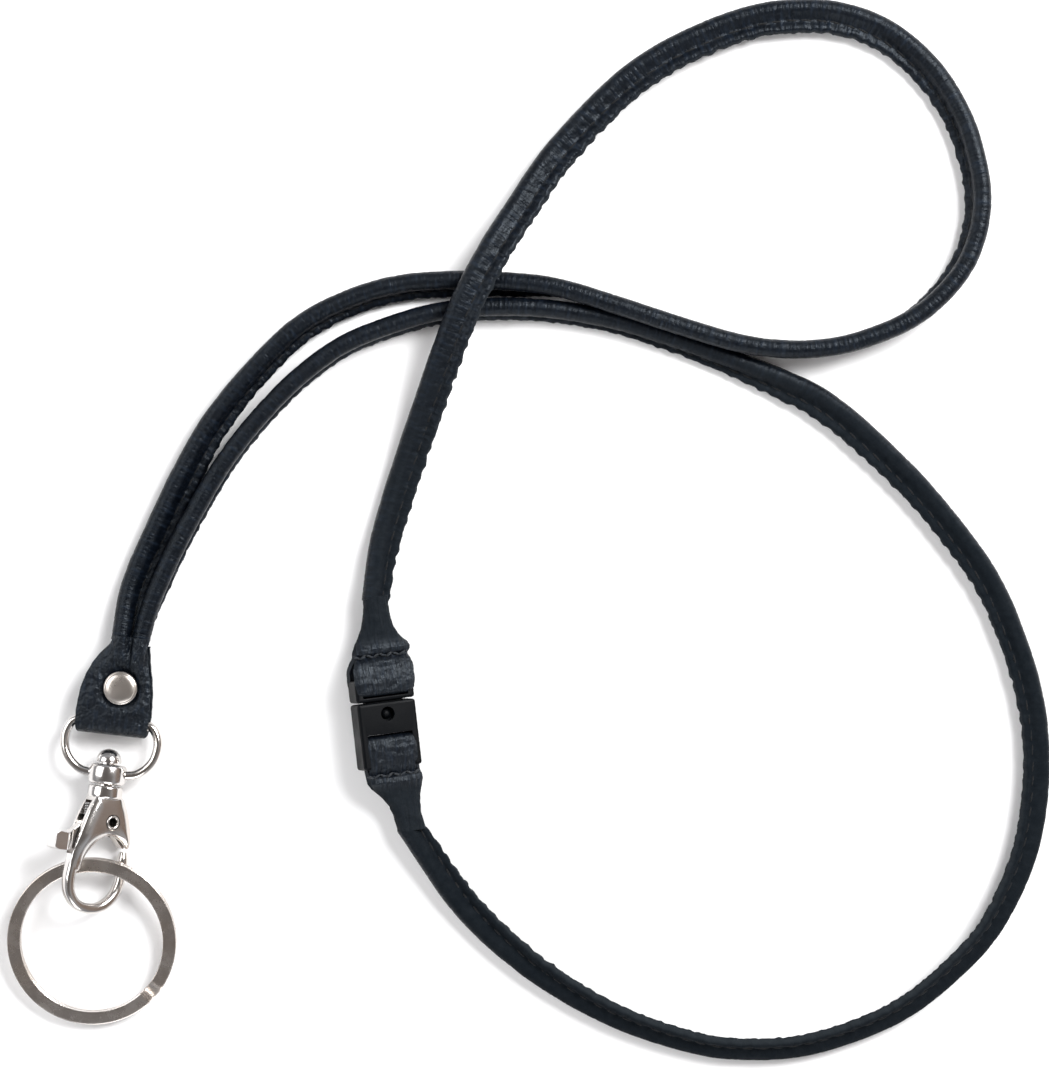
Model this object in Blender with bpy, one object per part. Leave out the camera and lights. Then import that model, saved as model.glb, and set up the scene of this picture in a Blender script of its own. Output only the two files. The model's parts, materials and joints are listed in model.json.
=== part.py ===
"""A neck lanyard: two rolled leather straps, a riveted leather tab, a swivel clasp with a
split key ring, and a breakaway buckle. It lies on the plane z = 0, as it would on a table.

Metres, +Z up. The origin is the middle of the flat back of the tab's rivet. +Y runs from the
rivet up the straps, and the clasp and the key ring lie towards -Y.
"""

from math import atan2, cos, hypot, pi, radians, sin

import bmesh
import bpy
import numpy as np
from mathutils import Matrix, Vector

MM = 0.001

# Gaps between pieces
TOUCH_GAP = 0.3 * MM
RUNNING_GAP = 0.15 * MM
SEAT_GAP = 0.15 * MM

# Leather straps
STRAP_DIAMETER = 3.5 * MM
STRAP_LEATHER = 0.7 * MM
CORE_GAP = 0.2 * MM
STRAP_SPACING = 2.5 * STRAP_DIAMETER
STRAP_END_GAP = 0.8 * MM
STRAP_SIDES = 2

# Leather tab and its rivet
TAB_LEATHER = 1.2 * MM
TAB_TOP = 8.2 * MM
TAB_LEFT_TOP = 3.1 * MM
TAB_LEFT_SHOULDER = 5.9 * MM
TAB_LEFT_BOTTOM = 7.7 * MM
TAB_RIGHT_TOP = 3.9 * MM
TAB_RIGHT_SHOULDER = 4.9 * MM
TAB_RIGHT_BOTTOM = 5.9 * MM
TAB_CORNER = 0.8 * MM
TAB_SHOULDER_HEIGHT = 4.7 * MM
TAB_WIDEST_HEIGHT = -1.2 * MM
RIVET_CAP_RADIUS = 3.2 * MM
RIVET_CAP_HEIGHT = 1.3 * MM
RIVET_BACK_RADIUS = 3.0 * MM
RIVET_BACK_HEIGHT = 1.0 * MM
RIVET_POST_RADIUS = 1.3 * MM
TONGUE_WIDTH = 5.4 * MM
TONGUE_LENGTH = 11.0 * MM

# Swivel eye: the wire loop that hangs in the tab's fold, with its collar
HARDWARE_TURN = radians(-6.5)
HARDWARE_PITCH = radians(-3.3)
EYE_WIRE_RADIUS = 0.85 * MM
BAR_GAP = 0.3 * MM
BAR_OFFSET = -0.9 * MM
BAR_BELOW_RIVET = 6.8 * MM
EYE_HALF_BAR = 7.0 * MM
EYE_HALF_WIDTH = 8.75 * MM
EYE_DROP = 9.8 * MM
COLLAR_RADIUS = 3.6 * MM
COLLAR_LENGTH = 3.8 * MM

# Swivel post
POST_RADIUS = 1.6 * MM
POST_HEAD_RADIUS = 2.45 * MM
POST_HEAD_HEIGHT = 2.6 * MM
POST_DEPTH_IN_CLASP = 2.6 * MM

# Clasp
CLASP_ROLL = radians(36)
NECK_RADIUS = 3.25 * MM
NECK_LENGTH = 2.3 * MM
CLASP_THICKNESS = 4.6 * MM
CLASP_EDGE = 0.9 * MM
HOOK_HALF_WIDTH = 1.0 * MM
HOOK_HALF_FLAT = 0.4 * MM
PIN_RIGHT = 0.95 * MM
PIN_DROP = 18.7 * MM
PIN_RADIUS = 1.3 * MM
PIN_BORE = 0.6 * MM
LEVER_THICKNESS = 1.8 * MM
LEVER_SIDE_GAP = 0.25 * MM
LEVER_HUB_RADIUS = 2.25 * MM
GATE_HALF_WIDTH = 0.9 * MM
SLOT_TOP = 14.9 * MM
SLOT_BOTTOM = 25.2 * MM
SLOT_BOTTOM_AT_GATE = 23.8 * MM
CHEEK_TAPER = 0.4
CHEEK_TAPER_START = 20.5 * MM
CHEEK_TAPER_END = 27.5 * MM
SPRING_WIRE_RADIUS = 0.17 * MM
SPRING_RADIUS = 0.7 * MM
SPRING_TURNS = 5
SPRING_LEFT = 3.0 * MM
SPRING_LENGTH = 2.4 * MM

# Split key ring
RING_OUTER_RADIUS = 16.0 * MM
RING_WIRE_WIDTH = 2.5 * MM
RING_INNER_RADIUS = RING_OUTER_RADIUS - RING_WIRE_WIDTH
RING_WIRE_THICKNESS = 1.0 * MM
RING_LAYER_GAP = 0.12 * MM
RING_STEP_ANGLE = radians(-39)
RING_STEP_SWEEP = radians(12)
RING_TOP = -32.1 * MM
RING_CENTRE = (-5.8 * MM, RING_TOP - RING_OUTER_RADIUS)
RING_HEIGHT_AT_HOOK = 4.6 * MM
RING_SEGMENTS = 96

# Breakaway buckle
BUCKLE_CENTRE = (49.3 * MM, -2.5 * MM)
BUCKLE_TURN = radians(6.5)
BUCKLE_ROLL = radians(20)
BUCKLE_WIDTH = 11.5 * MM
BUCKLE_THICKNESS = 5.2 * MM
BUCKLE_EDGE = 0.5 * MM
SPLIT_GAP = 0.3 * MM
SOCKET_LENGTH = 12.6 * MM
SOCKET_SOLID = 6.1 * MM
PLUG_LIP = 0.9 * MM
PLUG_LENGTH = 4.4 * MM
SLOT_WIDTH = 1.9 * MM
BAR_WIDTH = 1.6 * MM
BAR_THICKNESS = 1.7 * MM
FRAME_ARM = 1.3 * MM
PRONG_WIDTH = 7.2 * MM
PRONG_THICKNESS = 2.4 * MM
PRONG_LENGTH = 4.9 * MM
PRONG_GAP = 0.3 * MM
LATCH_BALL_RADIUS = 1.0 * MM
LATCH_BALL_RISE = 0.7 * MM
LATCH_HOLE_RADIUS = 1.35 * MM
LATCH_DEPTH = 2.4 * MM
LOOP_LEATHER = 1.1 * MM
LOOP_GAP = 0.2 * MM
LOOP_SIDE_GAP = 0.3 * MM
LOOP_BULGE = 0.3 * MM
FOLD_REACH = 6.2 * MM
FLARE_LENGTH = 9.0 * MM
FLARE_WIDTH = 10.4 * MM
FLARE_TIP_WIDTH = 4.0 * MM
LOWER_FLARE_SHIFT = 1.6 * MM

# The straps' routes, from the tab to the buckle: points on the centre of the rolled bead
UPPER_ROUTE = [
    (-0.0004, 0.0089, 0.0035), (0.0013, 0.0190, 0.0025), (0.0056, 0.0294, 0.0024),
    (0.0110, 0.0407, 0.0025), (0.0163, 0.0500, 0.0026), (0.0239, 0.0595, 0.0028),
    (0.0332, 0.0685, 0.0029), (0.0426, 0.0736, 0.0029), (0.0527, 0.0765, 0.0032),
    (0.0638, 0.0772, 0.0038), (0.0740, 0.0768, 0.0044), (0.0828, 0.0756, 0.0050),
    (0.0940, 0.0722, 0.0053), (0.1050, 0.0686, 0.0053), (0.1161, 0.0653, 0.0053),
    (0.1240, 0.0641, 0.0053), (0.1315, 0.0641, 0.0053), (0.1391, 0.0655, 0.0053),
    (0.1482, 0.0691, 0.0052), (0.1547, 0.0739, 0.0050), (0.1596, 0.0800, 0.0047),
    (0.1622, 0.0870, 0.0044), (0.1628, 0.0938, 0.0042), (0.1615, 0.1015, 0.0038),
    (0.1588, 0.1094, 0.0032), (0.1535, 0.1178, 0.0024), (0.1456, 0.1247, 0.0020),
    (0.1369, 0.1282, 0.0019), (0.1280, 0.1289, 0.0019), (0.1191, 0.1277, 0.0019),
    (0.1090, 0.1240, 0.0019), (0.0993, 0.1188, 0.0019), (0.0910, 0.1120, 0.0020),
    (0.0810, 0.1010, 0.0029), (0.0745, 0.0913, 0.0050), (0.0692, 0.0829, 0.0072),
    (0.0642, 0.0733, 0.0079), (0.0606, 0.0643, 0.0069),
]
UPPER_END_ROUTE = [
    (0.0606, 0.0643, 0.0069), (0.0566, 0.0530, 0.0044), (0.0537, 0.0447, 0.0029),
    (0.0506, 0.0350, 0.0023), (0.0483, 0.0260, 0.0031),
]
LOWER_ROUTE = [
    (0.0034, 0.0085, 0.0035), (0.0047, 0.0135, 0.0036), (0.0065, 0.0184, 0.0038),
    (0.0108, 0.0277, 0.0040), (0.0170, 0.0390, 0.0041), (0.0218, 0.0461, 0.0041),
    (0.0275, 0.0529, 0.0041), (0.0344, 0.0596, 0.0041), (0.0430, 0.0655, 0.0041),
    (0.0544, 0.0698, 0.0039), (0.0626, 0.0716, 0.0037), (0.0702, 0.0721, 0.0034),
    (0.0785, 0.0720, 0.0031), (0.0860, 0.0711, 0.0028), (0.0940, 0.0695, 0.0026),
    (0.1014, 0.0673, 0.0025), (0.1096, 0.0645, 0.0024), (0.1178, 0.0615, 0.0022),
    (0.1260, 0.0583, 0.0020), (0.1330, 0.0548, 0.0019), (0.1410, 0.0484, 0.0019),
    (0.1528, 0.0366, 0.0019), (0.1641, 0.0217, 0.0019), (0.1700, 0.0085, 0.0019),
    (0.1734, -0.0040, 0.0019), (0.1742, -0.0165, 0.0019), (0.1725, -0.0292, 0.0019),
    (0.1687, -0.0394, 0.0019), (0.1635, -0.0479, 0.0019), (0.1555, -0.0559, 0.0019),
    (0.1474, -0.0618, 0.0019), (0.1380, -0.0659, 0.0019), (0.1284, -0.0685, 0.0019),
    (0.1191, -0.0691, 0.0019), (0.1098, -0.0682, 0.0019), (0.0970, -0.0644, 0.0019),
    (0.0861, -0.0593, 0.0019), (0.0750, -0.0520, 0.0019), (0.0640, -0.0416, 0.0022),
]

# Worked out from the values above
TAB_GAP = 2 * (EYE_WIRE_RADIUS + BAR_GAP)
TAB_HALF = TAB_GAP / 2 + TAB_LEATHER
TAB_MIDDLE = RIVET_BACK_HEIGHT + SEAT_GAP + TAB_HALF
TAB_FRONT = TAB_MIDDLE + TAB_HALF
HOLE_RADIUS = RIVET_POST_RADIUS + RUNNING_GAP
TONGUE_THICKNESS = (TAB_GAP - 3 * SEAT_GAP) / 2
BAR_HEIGHT = TAB_MIDDLE
COLLAR_TOP = EYE_DROP - COLLAR_LENGTH / 2
COLLAR_BOTTOM = EYE_DROP + COLLAR_LENGTH / 2
NECK_TOP = COLLAR_BOTTOM + TOUCH_GAP
NECK_BOTTOM = NECK_TOP + NECK_LENGTH
SLOT_HALF = LEVER_THICKNESS / 2 + LEVER_SIDE_GAP
RING_PITCH = RING_WIRE_THICKNESS + RING_LAYER_GAP
RING_HALF_HEIGHT = RING_WIRE_THICKNESS + RING_LAYER_GAP / 2
BUCKLE_HEIGHT = BUCKLE_THICKNESS / 2 * cos(BUCKLE_ROLL) + BUCKLE_WIDTH / 2 * sin(BUCKLE_ROLL)


def clear_scene():
    for thing in list(bpy.data.objects):
        bpy.data.objects.remove(thing, do_unlink=True)


def finish_material(name, colour, roughness, metallic):
    """A plain Principled material in the piece's own colour."""
    made = bpy.data.materials.new(name)
    made.use_nodes = True
    shader = made.node_tree.nodes["Principled BSDF"]
    shader.inputs["Base Color"].default_value = (*colour, 1)
    shader.inputs["Roughness"].default_value = roughness
    shader.inputs["Metallic"].default_value = metallic
    return made


def frame_empty(name, location=(0, 0, 0), rotation=(0, 0, 0), parent=None):
    """An empty that carries the place and the turn of the pieces under it."""
    empty = bpy.data.objects.new(name, None)
    bpy.context.collection.objects.link(empty)
    empty.location = location
    empty.rotation_euler = rotation
    empty.parent = parent
    return empty


def place(thing, material=None, parent=None, location=(0, 0, 0), rotation=(0, 0, 0)):
    thing.parent = parent
    thing.location = location
    thing.rotation_euler = rotation
    if material:
        thing.data.materials.append(material)
    return thing


def mesh_object(name, shape, sharp=radians(35)):
    """A bmesh made an object, with its faces turned outwards and shaded smooth."""
    bmesh.ops.recalc_face_normals(shape, faces=shape.faces)
    mesh = bpy.data.meshes.new(name)
    shape.to_mesh(mesh)
    shape.free()
    mesh.shade_smooth()
    mesh.set_sharp_from_angle(angle=sharp)
    made = bpy.data.objects.new(name, mesh)
    bpy.context.collection.objects.link(made)
    return made


def prism_shape(outline, low, high, flat="xy"):
    """An outline of (a, b) points in a plane, extruded between two levels across that plane."""
    lift = {"xy": lambda a, b, c: (a, b, c), "yz": lambda a, b, c: (c, a, b)}[flat]
    shape = bmesh.new()
    corners = [shape.verts.new(lift(a, b, low)) for a, b in outline]
    face = shape.faces.new(corners)
    grown = bmesh.ops.extrude_face_region(shape, geom=[face])
    top = [part for part in grown["geom"] if isinstance(part, bmesh.types.BMVert)]
    bmesh.ops.translate(shape, verts=top, vec=Vector(lift(0, 0, high - low)))
    return shape


def prism(name, outline, low, high, flat="xy"):
    return mesh_object(name, prism_shape(outline, low, high, flat))


def bevelled_prism(name, outline, low, high, width, segments=2):
    """A prism in the XY plane whose rims are rounded."""
    shape = prism_shape(outline, low, high)
    rims = [
        edge for edge in shape.edges
        if abs(edge.verts[0].co.z - edge.verts[1].co.z) < TOUCH_GAP / 100
    ]
    bmesh.ops.bevel(
        shape, geom=rims, offset=width, offset_type="OFFSET", affect="EDGES",
        segments=segments, profile=0.5, material=-1, clamp_overlap=True,
    )
    return mesh_object(name, shape)


def box(name, low, high, width=0):
    """A block between two corners, with all its edges rounded where a width is given."""
    low = Vector(low)
    high = Vector(high)
    shape = bmesh.new()
    bmesh.ops.create_cube(shape, size=1)
    bmesh.ops.scale(shape, vec=high - low, verts=shape.verts)
    bmesh.ops.translate(shape, vec=(low + high) / 2, verts=shape.verts)
    if width:
        bmesh.ops.bevel(
            shape, geom=shape.edges[:], offset=width, offset_type="OFFSET", affect="EDGES",
            segments=2, profile=0.5, material=-1,
        )
    return mesh_object(name, shape)


def turned(name, profile, steps=32):
    """A (radius, height) profile from pole to pole, spun round the Z axis."""
    shape = bmesh.new()
    points = [shape.verts.new((radius, 0, height)) for radius, height in profile]
    edges = [shape.edges.new(pair) for pair in zip(points, points[1:])]
    bmesh.ops.spin(
        shape, geom=points + edges, cent=(0, 0, 0), axis=(0, 0, 1), dvec=(0, 0, 0),
        angle=2 * pi, steps=steps, use_merge=True, use_duplicate=False,
    )
    bmesh.ops.remove_doubles(shape, verts=shape.verts, dist=0.00001 * MM)
    return mesh_object(name, shape)


def rod(name, radius, start, end, sides=32):
    """A round bar between two points, for pins and for the cutters of holes."""
    start = Vector(start)
    end = Vector(end)
    shape = bmesh.new()
    bmesh.ops.create_cone(
        shape, cap_ends=True, segments=sides, radius1=radius, radius2=radius,
        depth=(end - start).length,
    )
    turn = Vector((0, 0, 1)).rotation_difference(end - start).to_matrix().to_4x4()
    bmesh.ops.transform(shape, matrix=Matrix.Translation((start + end) / 2) @ turn, verts=shape.verts)
    return mesh_object(name, shape)


def combine(target, tool, operation):
    """A Boolean with a hidden tool, which stays in the scene as a wire guide."""
    tool.hide_render = True
    tool.display_type = "WIRE"
    change = target.modifiers.new(tool.name, "BOOLEAN")
    change.operation = operation
    change.object = tool
    change.solver = "EXACT"
    return target


def loft(name, rings, closed=False):
    """Rings of points joined one to the next, with a cap at each end."""
    shape = bmesh.new()
    loops = [[shape.verts.new(point) for point in ring] for ring in rings]
    pairs = list(zip(loops, loops[1:]))
    if closed:
        pairs.append((loops[-1], loops[0]))
    for first, second in pairs:
        for k in range(len(first)):
            after = (k + 1) % len(first)
            shape.faces.new((first[k], first[after], second[after], second[k]))
    if not closed:
        shape.faces.new(loops[0])
        shape.faces.new(loops[-1])
    return mesh_object(name, shape)


def arc(centre, radius, first, last, steps):
    """Points on an arc from one angle to another, in degrees."""
    angles = np.linspace(radians(first), radians(last), steps)
    return [(centre[0] + radius * cos(a), centre[1] + radius * sin(a)) for a in angles]


def smooth_route(points, spacing):
    """A Catmull-Rom curve through the points, read at even steps of about the spacing."""
    known = [Vector(point) for point in points]
    known = [2 * known[0] - known[1], *known, 2 * known[-1] - known[-2]]
    fine = []
    for a, b, c, d in zip(known, known[1:], known[2:], known[3:]):
        for t in np.linspace(0, 1, 24, endpoint=False):
            fine.append(
                0.5 * (2 * b + (c - a) * t + (2 * a - 5 * b + 4 * c - d) * t**2
                       + (3 * b - a - 3 * c + d) * t**3)
            )
    fine.append(known[-2])
    fine = np.array(fine)
    along = np.concatenate([[0], np.cumsum(np.linalg.norm(np.diff(fine, axis=0), axis=1))])
    steps = max(2, round(along[-1] / spacing)) + 1
    wanted = np.linspace(0, along[-1], steps)
    return np.column_stack([np.interp(wanted, along, fine[:, k]) for k in range(3)])


def trimmed(route, start=0.0, end=0.0):
    """The route with a little cut off its ends, so that it stops short of what it meets."""
    route = [Vector(point) for point in route]
    route[0] = route[0] + (route[1] - route[0]).normalized() * start
    route[-1] = route[-1] + (route[-2] - route[-1]).normalized() * end
    return route


def tube(name, points, radius, filled=True, sides=STRAP_SIDES):
    """A POLY curve with a round bevel: the plain form of a strap, a core or a wire."""
    curve = bpy.data.curves.new(name, "CURVE")
    curve.dimensions = "3D"
    curve.bevel_depth = radius
    curve.bevel_resolution = sides
    curve.use_fill_caps = filled
    curve.twist_mode = "MINIMUM"
    spline = curve.splines.new("POLY")
    spline.points.add(len(points) - 1)
    for spot, point in zip(spline.points, points):
        spot.co = (*point, 1)
        spot.radius = 1
    made = bpy.data.objects.new(name, curve)
    bpy.context.collection.objects.link(made)
    return made


def strap_stretch(name, core_name, points, materials):
    """A rolled leather cover, open at both ends, with the cord that fills it."""
    cover = tube(name, points, STRAP_DIAMETER / 2, filled=False)
    wall = cover.modifiers.new("leather", "SOLIDIFY")
    wall.thickness = STRAP_LEATHER
    wall.offset = -1
    place(cover, materials["strap_leather"])
    core_radius = STRAP_DIAMETER / 2 - STRAP_LEATHER - CORE_GAP
    place(tube(core_name, points, core_radius), materials["core_cord"])


def make_straps(materials):
    upper_tip = flare_tip(PLUG_LIP, 1)
    lower_tip = flare_tip(SOCKET_SOLID, -1, LOWER_FLARE_SHIFT)
    upper_end = trimmed(
        smooth_route(UPPER_END_ROUTE + [upper_tip], STRAP_SPACING), TOUCH_GAP, STRAP_END_GAP
    )
    upper = smooth_route(UPPER_ROUTE, STRAP_SPACING)
    strap_stretch("strap_upper", "core_upper", upper, materials)
    strap_stretch("strap_upper_end", "core_upper_end", upper_end, materials)
    lower = trimmed(smooth_route(LOWER_ROUTE + [lower_tip], STRAP_SPACING), 0, STRAP_END_GAP)
    strap_stretch("strap_lower", "core_lower", lower, materials)


def tab_outline(top, bottom):
    """The tab's plan: narrow at its mouth, wide at its fold."""
    left = [
        (-TAB_LEFT_TOP, top), (-TAB_LEFT_SHOULDER, TAB_SHOULDER_HEIGHT),
        (-TAB_LEFT_BOTTOM, TAB_WIDEST_HEIGHT), (-TAB_LEFT_BOTTOM, bottom + TAB_CORNER),
        (-TAB_LEFT_BOTTOM + TAB_CORNER, bottom),
    ]
    right = [
        (TAB_RIGHT_BOTTOM - TAB_CORNER, bottom), (TAB_RIGHT_BOTTOM, bottom + TAB_CORNER),
        (TAB_RIGHT_BOTTOM - 0.3 * TAB_CORNER, 0), (TAB_RIGHT_SHOULDER, TAB_SHOULDER_HEIGHT),
        (TAB_RIGHT_TOP, top),
    ]
    return left + right


def make_tab(frame, materials):
    """One strip of leather folded round the eye's bar, with a rivet hole through both panels."""
    bar_y = -BAR_BELOW_RIVET
    outer = arc((bar_y, TAB_MIDDLE), TAB_HALF, 270, 90, 13)
    inner = arc((bar_y, TAB_MIDDLE), TAB_GAP / 2, 90, 270, 11)
    profile = [
        (TAB_TOP, TAB_MIDDLE - TAB_HALF), *outer, (TAB_TOP, TAB_FRONT),
        (TAB_TOP, TAB_MIDDLE + TAB_GAP / 2), *inner, (TAB_TOP, TAB_MIDDLE - TAB_GAP / 2),
    ]
    reach = TAB_LEFT_BOTTOM + TAB_RIGHT_BOTTOM
    tab = prism("leather_tab", profile, -reach, reach, "yz")
    place(tab, materials["tab_leather"], frame)
    bottom = bar_y - TAB_HALF
    plan = prism("tab_plan", tab_outline(TAB_TOP + TOUCH_GAP, bottom - TOUCH_GAP), 0, 2 * TAB_FRONT)
    place(plan, parent=frame)
    combine(tab, plan, "INTERSECT")
    hole = rod("tab_hole", HOLE_RADIUS, (0, 0, 0), (0, 0, 2 * TAB_FRONT))
    place(hole, parent=frame)
    combine(tab, hole, "DIFFERENCE")


def make_tongues(frame, materials):
    """The straps' flattened ends, one on the other between the tab's panels."""
    for name, level in (("strap_tongue_back", 0), ("strap_tongue_front", 1)):
        low = TAB_MIDDLE - TAB_GAP / 2 + SEAT_GAP + level * (TONGUE_THICKNESS + SEAT_GAP)
        high = low + TONGUE_THICKNESS
        bottom = TAB_TOP - TONGUE_LENGTH
        tongue = box(name, (-TONGUE_WIDTH / 2, bottom, low), (TONGUE_WIDTH / 2, TAB_TOP, high))
        place(tongue, materials["strap_leather"], frame)
        hole = rod(name + "_hole", HOLE_RADIUS, (0, 0, 0), (0, 0, 2 * TAB_FRONT))
        place(hole, parent=frame)
        combine(tongue, hole, "DIFFERENCE")


def make_rivet(materials):
    """A double-cap rivet: a back cap with its post, and a front cap that it is pressed into."""
    cap_base = TAB_FRONT + SEAT_GAP
    cap_top = cap_base + RIVET_CAP_HEIGHT
    post_top = cap_base + 0.5 * RIVET_CAP_HEIGHT
    rim = 0.35 * RIVET_BACK_HEIGHT
    back = turned("rivet_back", [
        (0, 0), (RIVET_BACK_RADIUS - rim, 0), (RIVET_BACK_RADIUS, rim),
        (RIVET_BACK_RADIUS, RIVET_BACK_HEIGHT), (RIVET_POST_RADIUS, RIVET_BACK_HEIGHT),
        (RIVET_POST_RADIUS, post_top), (0, post_top),
    ])
    place(back, materials["nickel"])
    edge = 0.3 * RIVET_CAP_HEIGHT
    cap = turned("rivet_cap", [
        (HOLE_RADIUS, cap_base), (RIVET_CAP_RADIUS - edge, cap_base),
        (RIVET_CAP_RADIUS, cap_base + edge), (RIVET_CAP_RADIUS, cap_base + 2 * edge),
        (RIVET_CAP_RADIUS - edge, cap_top - 0.6 * edge), (0.6 * RIVET_CAP_RADIUS, cap_top - 0.2 * edge),
        (0, cap_top), (0, post_top + RUNNING_GAP), (HOLE_RADIUS, post_top + RUNNING_GAP),
        (HOLE_RADIUS, cap_base),
    ])
    place(cap, materials["nickel"])


def flat_sweep(name, route, across_half, flats, sides, closed=False):
    """A round section, stretched through its thickness, carried along a route in the XY plane.

    flats is half the straight part of the section, at the route's start and at its end.
    """
    rings = []
    last = len(route) - 1
    for k, point in enumerate(route):
        flat_half = flats[0] + (flats[1] - flats[0]) * k / last
        before = route[k - 1] if closed or k else point
        after = route[(k + 1) % len(route)] if closed or k < last else point
        along = (after - before).normalized()
        across = Vector((0, 0, 1)).cross(along)
        ring = []
        for angle in (np.arange(sides) + 0.5) * 2 * pi / sides:
            rise = across_half * sin(angle) + (flat_half if sin(angle) > 0 else -flat_half)
            ring.append(point + across_half * cos(angle) * across + Vector((0, 0, rise)))
        rings.append(ring)
    return loft(name, rings, closed)


def eye_route():
    """The centre line of the eye's wire: a straight bar, round shoulders and a wide bow."""
    side = [
        (EYE_HALF_BAR, 0), (0.91 * EYE_HALF_WIDTH, -0.08 * EYE_DROP),
        (EYE_HALF_WIDTH, -0.27 * EYE_DROP), (EYE_HALF_WIDTH, -0.48 * EYE_DROP),
        (0.92 * EYE_HALF_WIDTH, -0.70 * EYE_DROP), (0.74 * EYE_HALF_WIDTH, -0.88 * EYE_DROP),
        (0.50 * EYE_HALF_WIDTH, -0.98 * EYE_DROP), (0, -EYE_DROP),
    ]
    left = [(-x, y) for x, y in reversed(side[:-1])]
    knots = [(x, y, 0) for x, y in side + left]
    return [Vector(point) for point in smooth_route(knots, 1.1 * EYE_WIRE_RADIUS)]


def make_eye(frame, materials):
    """The wire loop and the collar on it, one casting."""
    eye = flat_sweep("swivel_eye", eye_route(), EYE_WIRE_RADIUS, (0, 0), 12, closed=True)
    place(eye, materials["nickel"], frame)
    edge = 0.12 * COLLAR_LENGTH
    barrel = turned("collar_barrel", [
        (0, -COLLAR_LENGTH / 2), (COLLAR_RADIUS - edge, -COLLAR_LENGTH / 2),
        (COLLAR_RADIUS, -COLLAR_LENGTH / 2 + edge), (COLLAR_RADIUS, COLLAR_LENGTH / 2 - edge),
        (COLLAR_RADIUS - edge, COLLAR_LENGTH / 2), (0, COLLAR_LENGTH / 2),
    ])
    place(barrel, parent=frame, location=(0, -EYE_DROP, 0), rotation=(pi / 2, 0, 0))
    combine(eye, barrel, "UNION")
    reach = COLLAR_LENGTH
    bore = rod(
        "collar_bore", POST_RADIUS + RUNNING_GAP, (0, -EYE_DROP - reach, 0), (0, -EYE_DROP + reach, 0)
    )
    place(bore, parent=frame)
    combine(eye, bore, "DIFFERENCE")


def make_post(frame, materials):
    """The swivel's post: a ball head above the collar and a shank set into the clasp's neck."""
    head_base = COLLAR_TOP - TOUCH_GAP
    round_head = [
        (POST_HEAD_RADIUS * cos(a), head_base - POST_HEAD_HEIGHT * sin(a))
        for a in np.linspace(pi / 2, 0, 9)
    ]
    shank_end = NECK_TOP + POST_DEPTH_IN_CLASP
    profile = [(0, round_head[0][1]), *round_head[1:]]
    profile += [(POST_RADIUS, head_base), (POST_RADIUS, shank_end), (0, shank_end)]
    post = turned("swivel_post", profile)
    place(post, materials["nickel"], frame, rotation=(pi / 2, 0, 0))


def clasp_outline():
    """The cheek's plan: shoulders under the neck, a rounded right side, and the spine."""
    return [
        (-2.6 * MM, -13.9 * MM), (2.6 * MM, -13.9 * MM), (4.3 * MM, -16.6 * MM),
        (5.2 * MM, -19.6 * MM), (5.5 * MM, -22.2 * MM), (5.0 * MM, -23.0 * MM),
        (3.3 * MM, -22.1 * MM), (0.9 * MM, -21.3 * MM), (-1.5 * MM, -22.6 * MM),
        (-3.3 * MM, -25.0 * MM), (-4.3 * MM, -28.0 * MM), (-6.2 * MM, -27.6 * MM),
        (-5.9 * MM, -24.2 * MM), (-4.9 * MM, -20.2 * MM), (-3.8 * MM, -16.6 * MM),
    ]


def hook_route():
    """The middle of the hook, from the spine round to the nose."""
    knots = [
        (-4.9, -25.0), (-5.4, -27.6), (-5.6, -30.2), (-5.1, -32.7), (-3.4, -34.6),
        (-0.9, -35.3), (1.9, -34.8), (4.2, -32.8), (5.3, -30.1), (5.5, -27.4), (5.3, -24.9),
    ]
    knots = [(x * MM, y * MM, 0) for x, y in knots]
    return [Vector(point) for point in smooth_route(knots, 1.4 * HOOK_HALF_WIDTH)]


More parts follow.
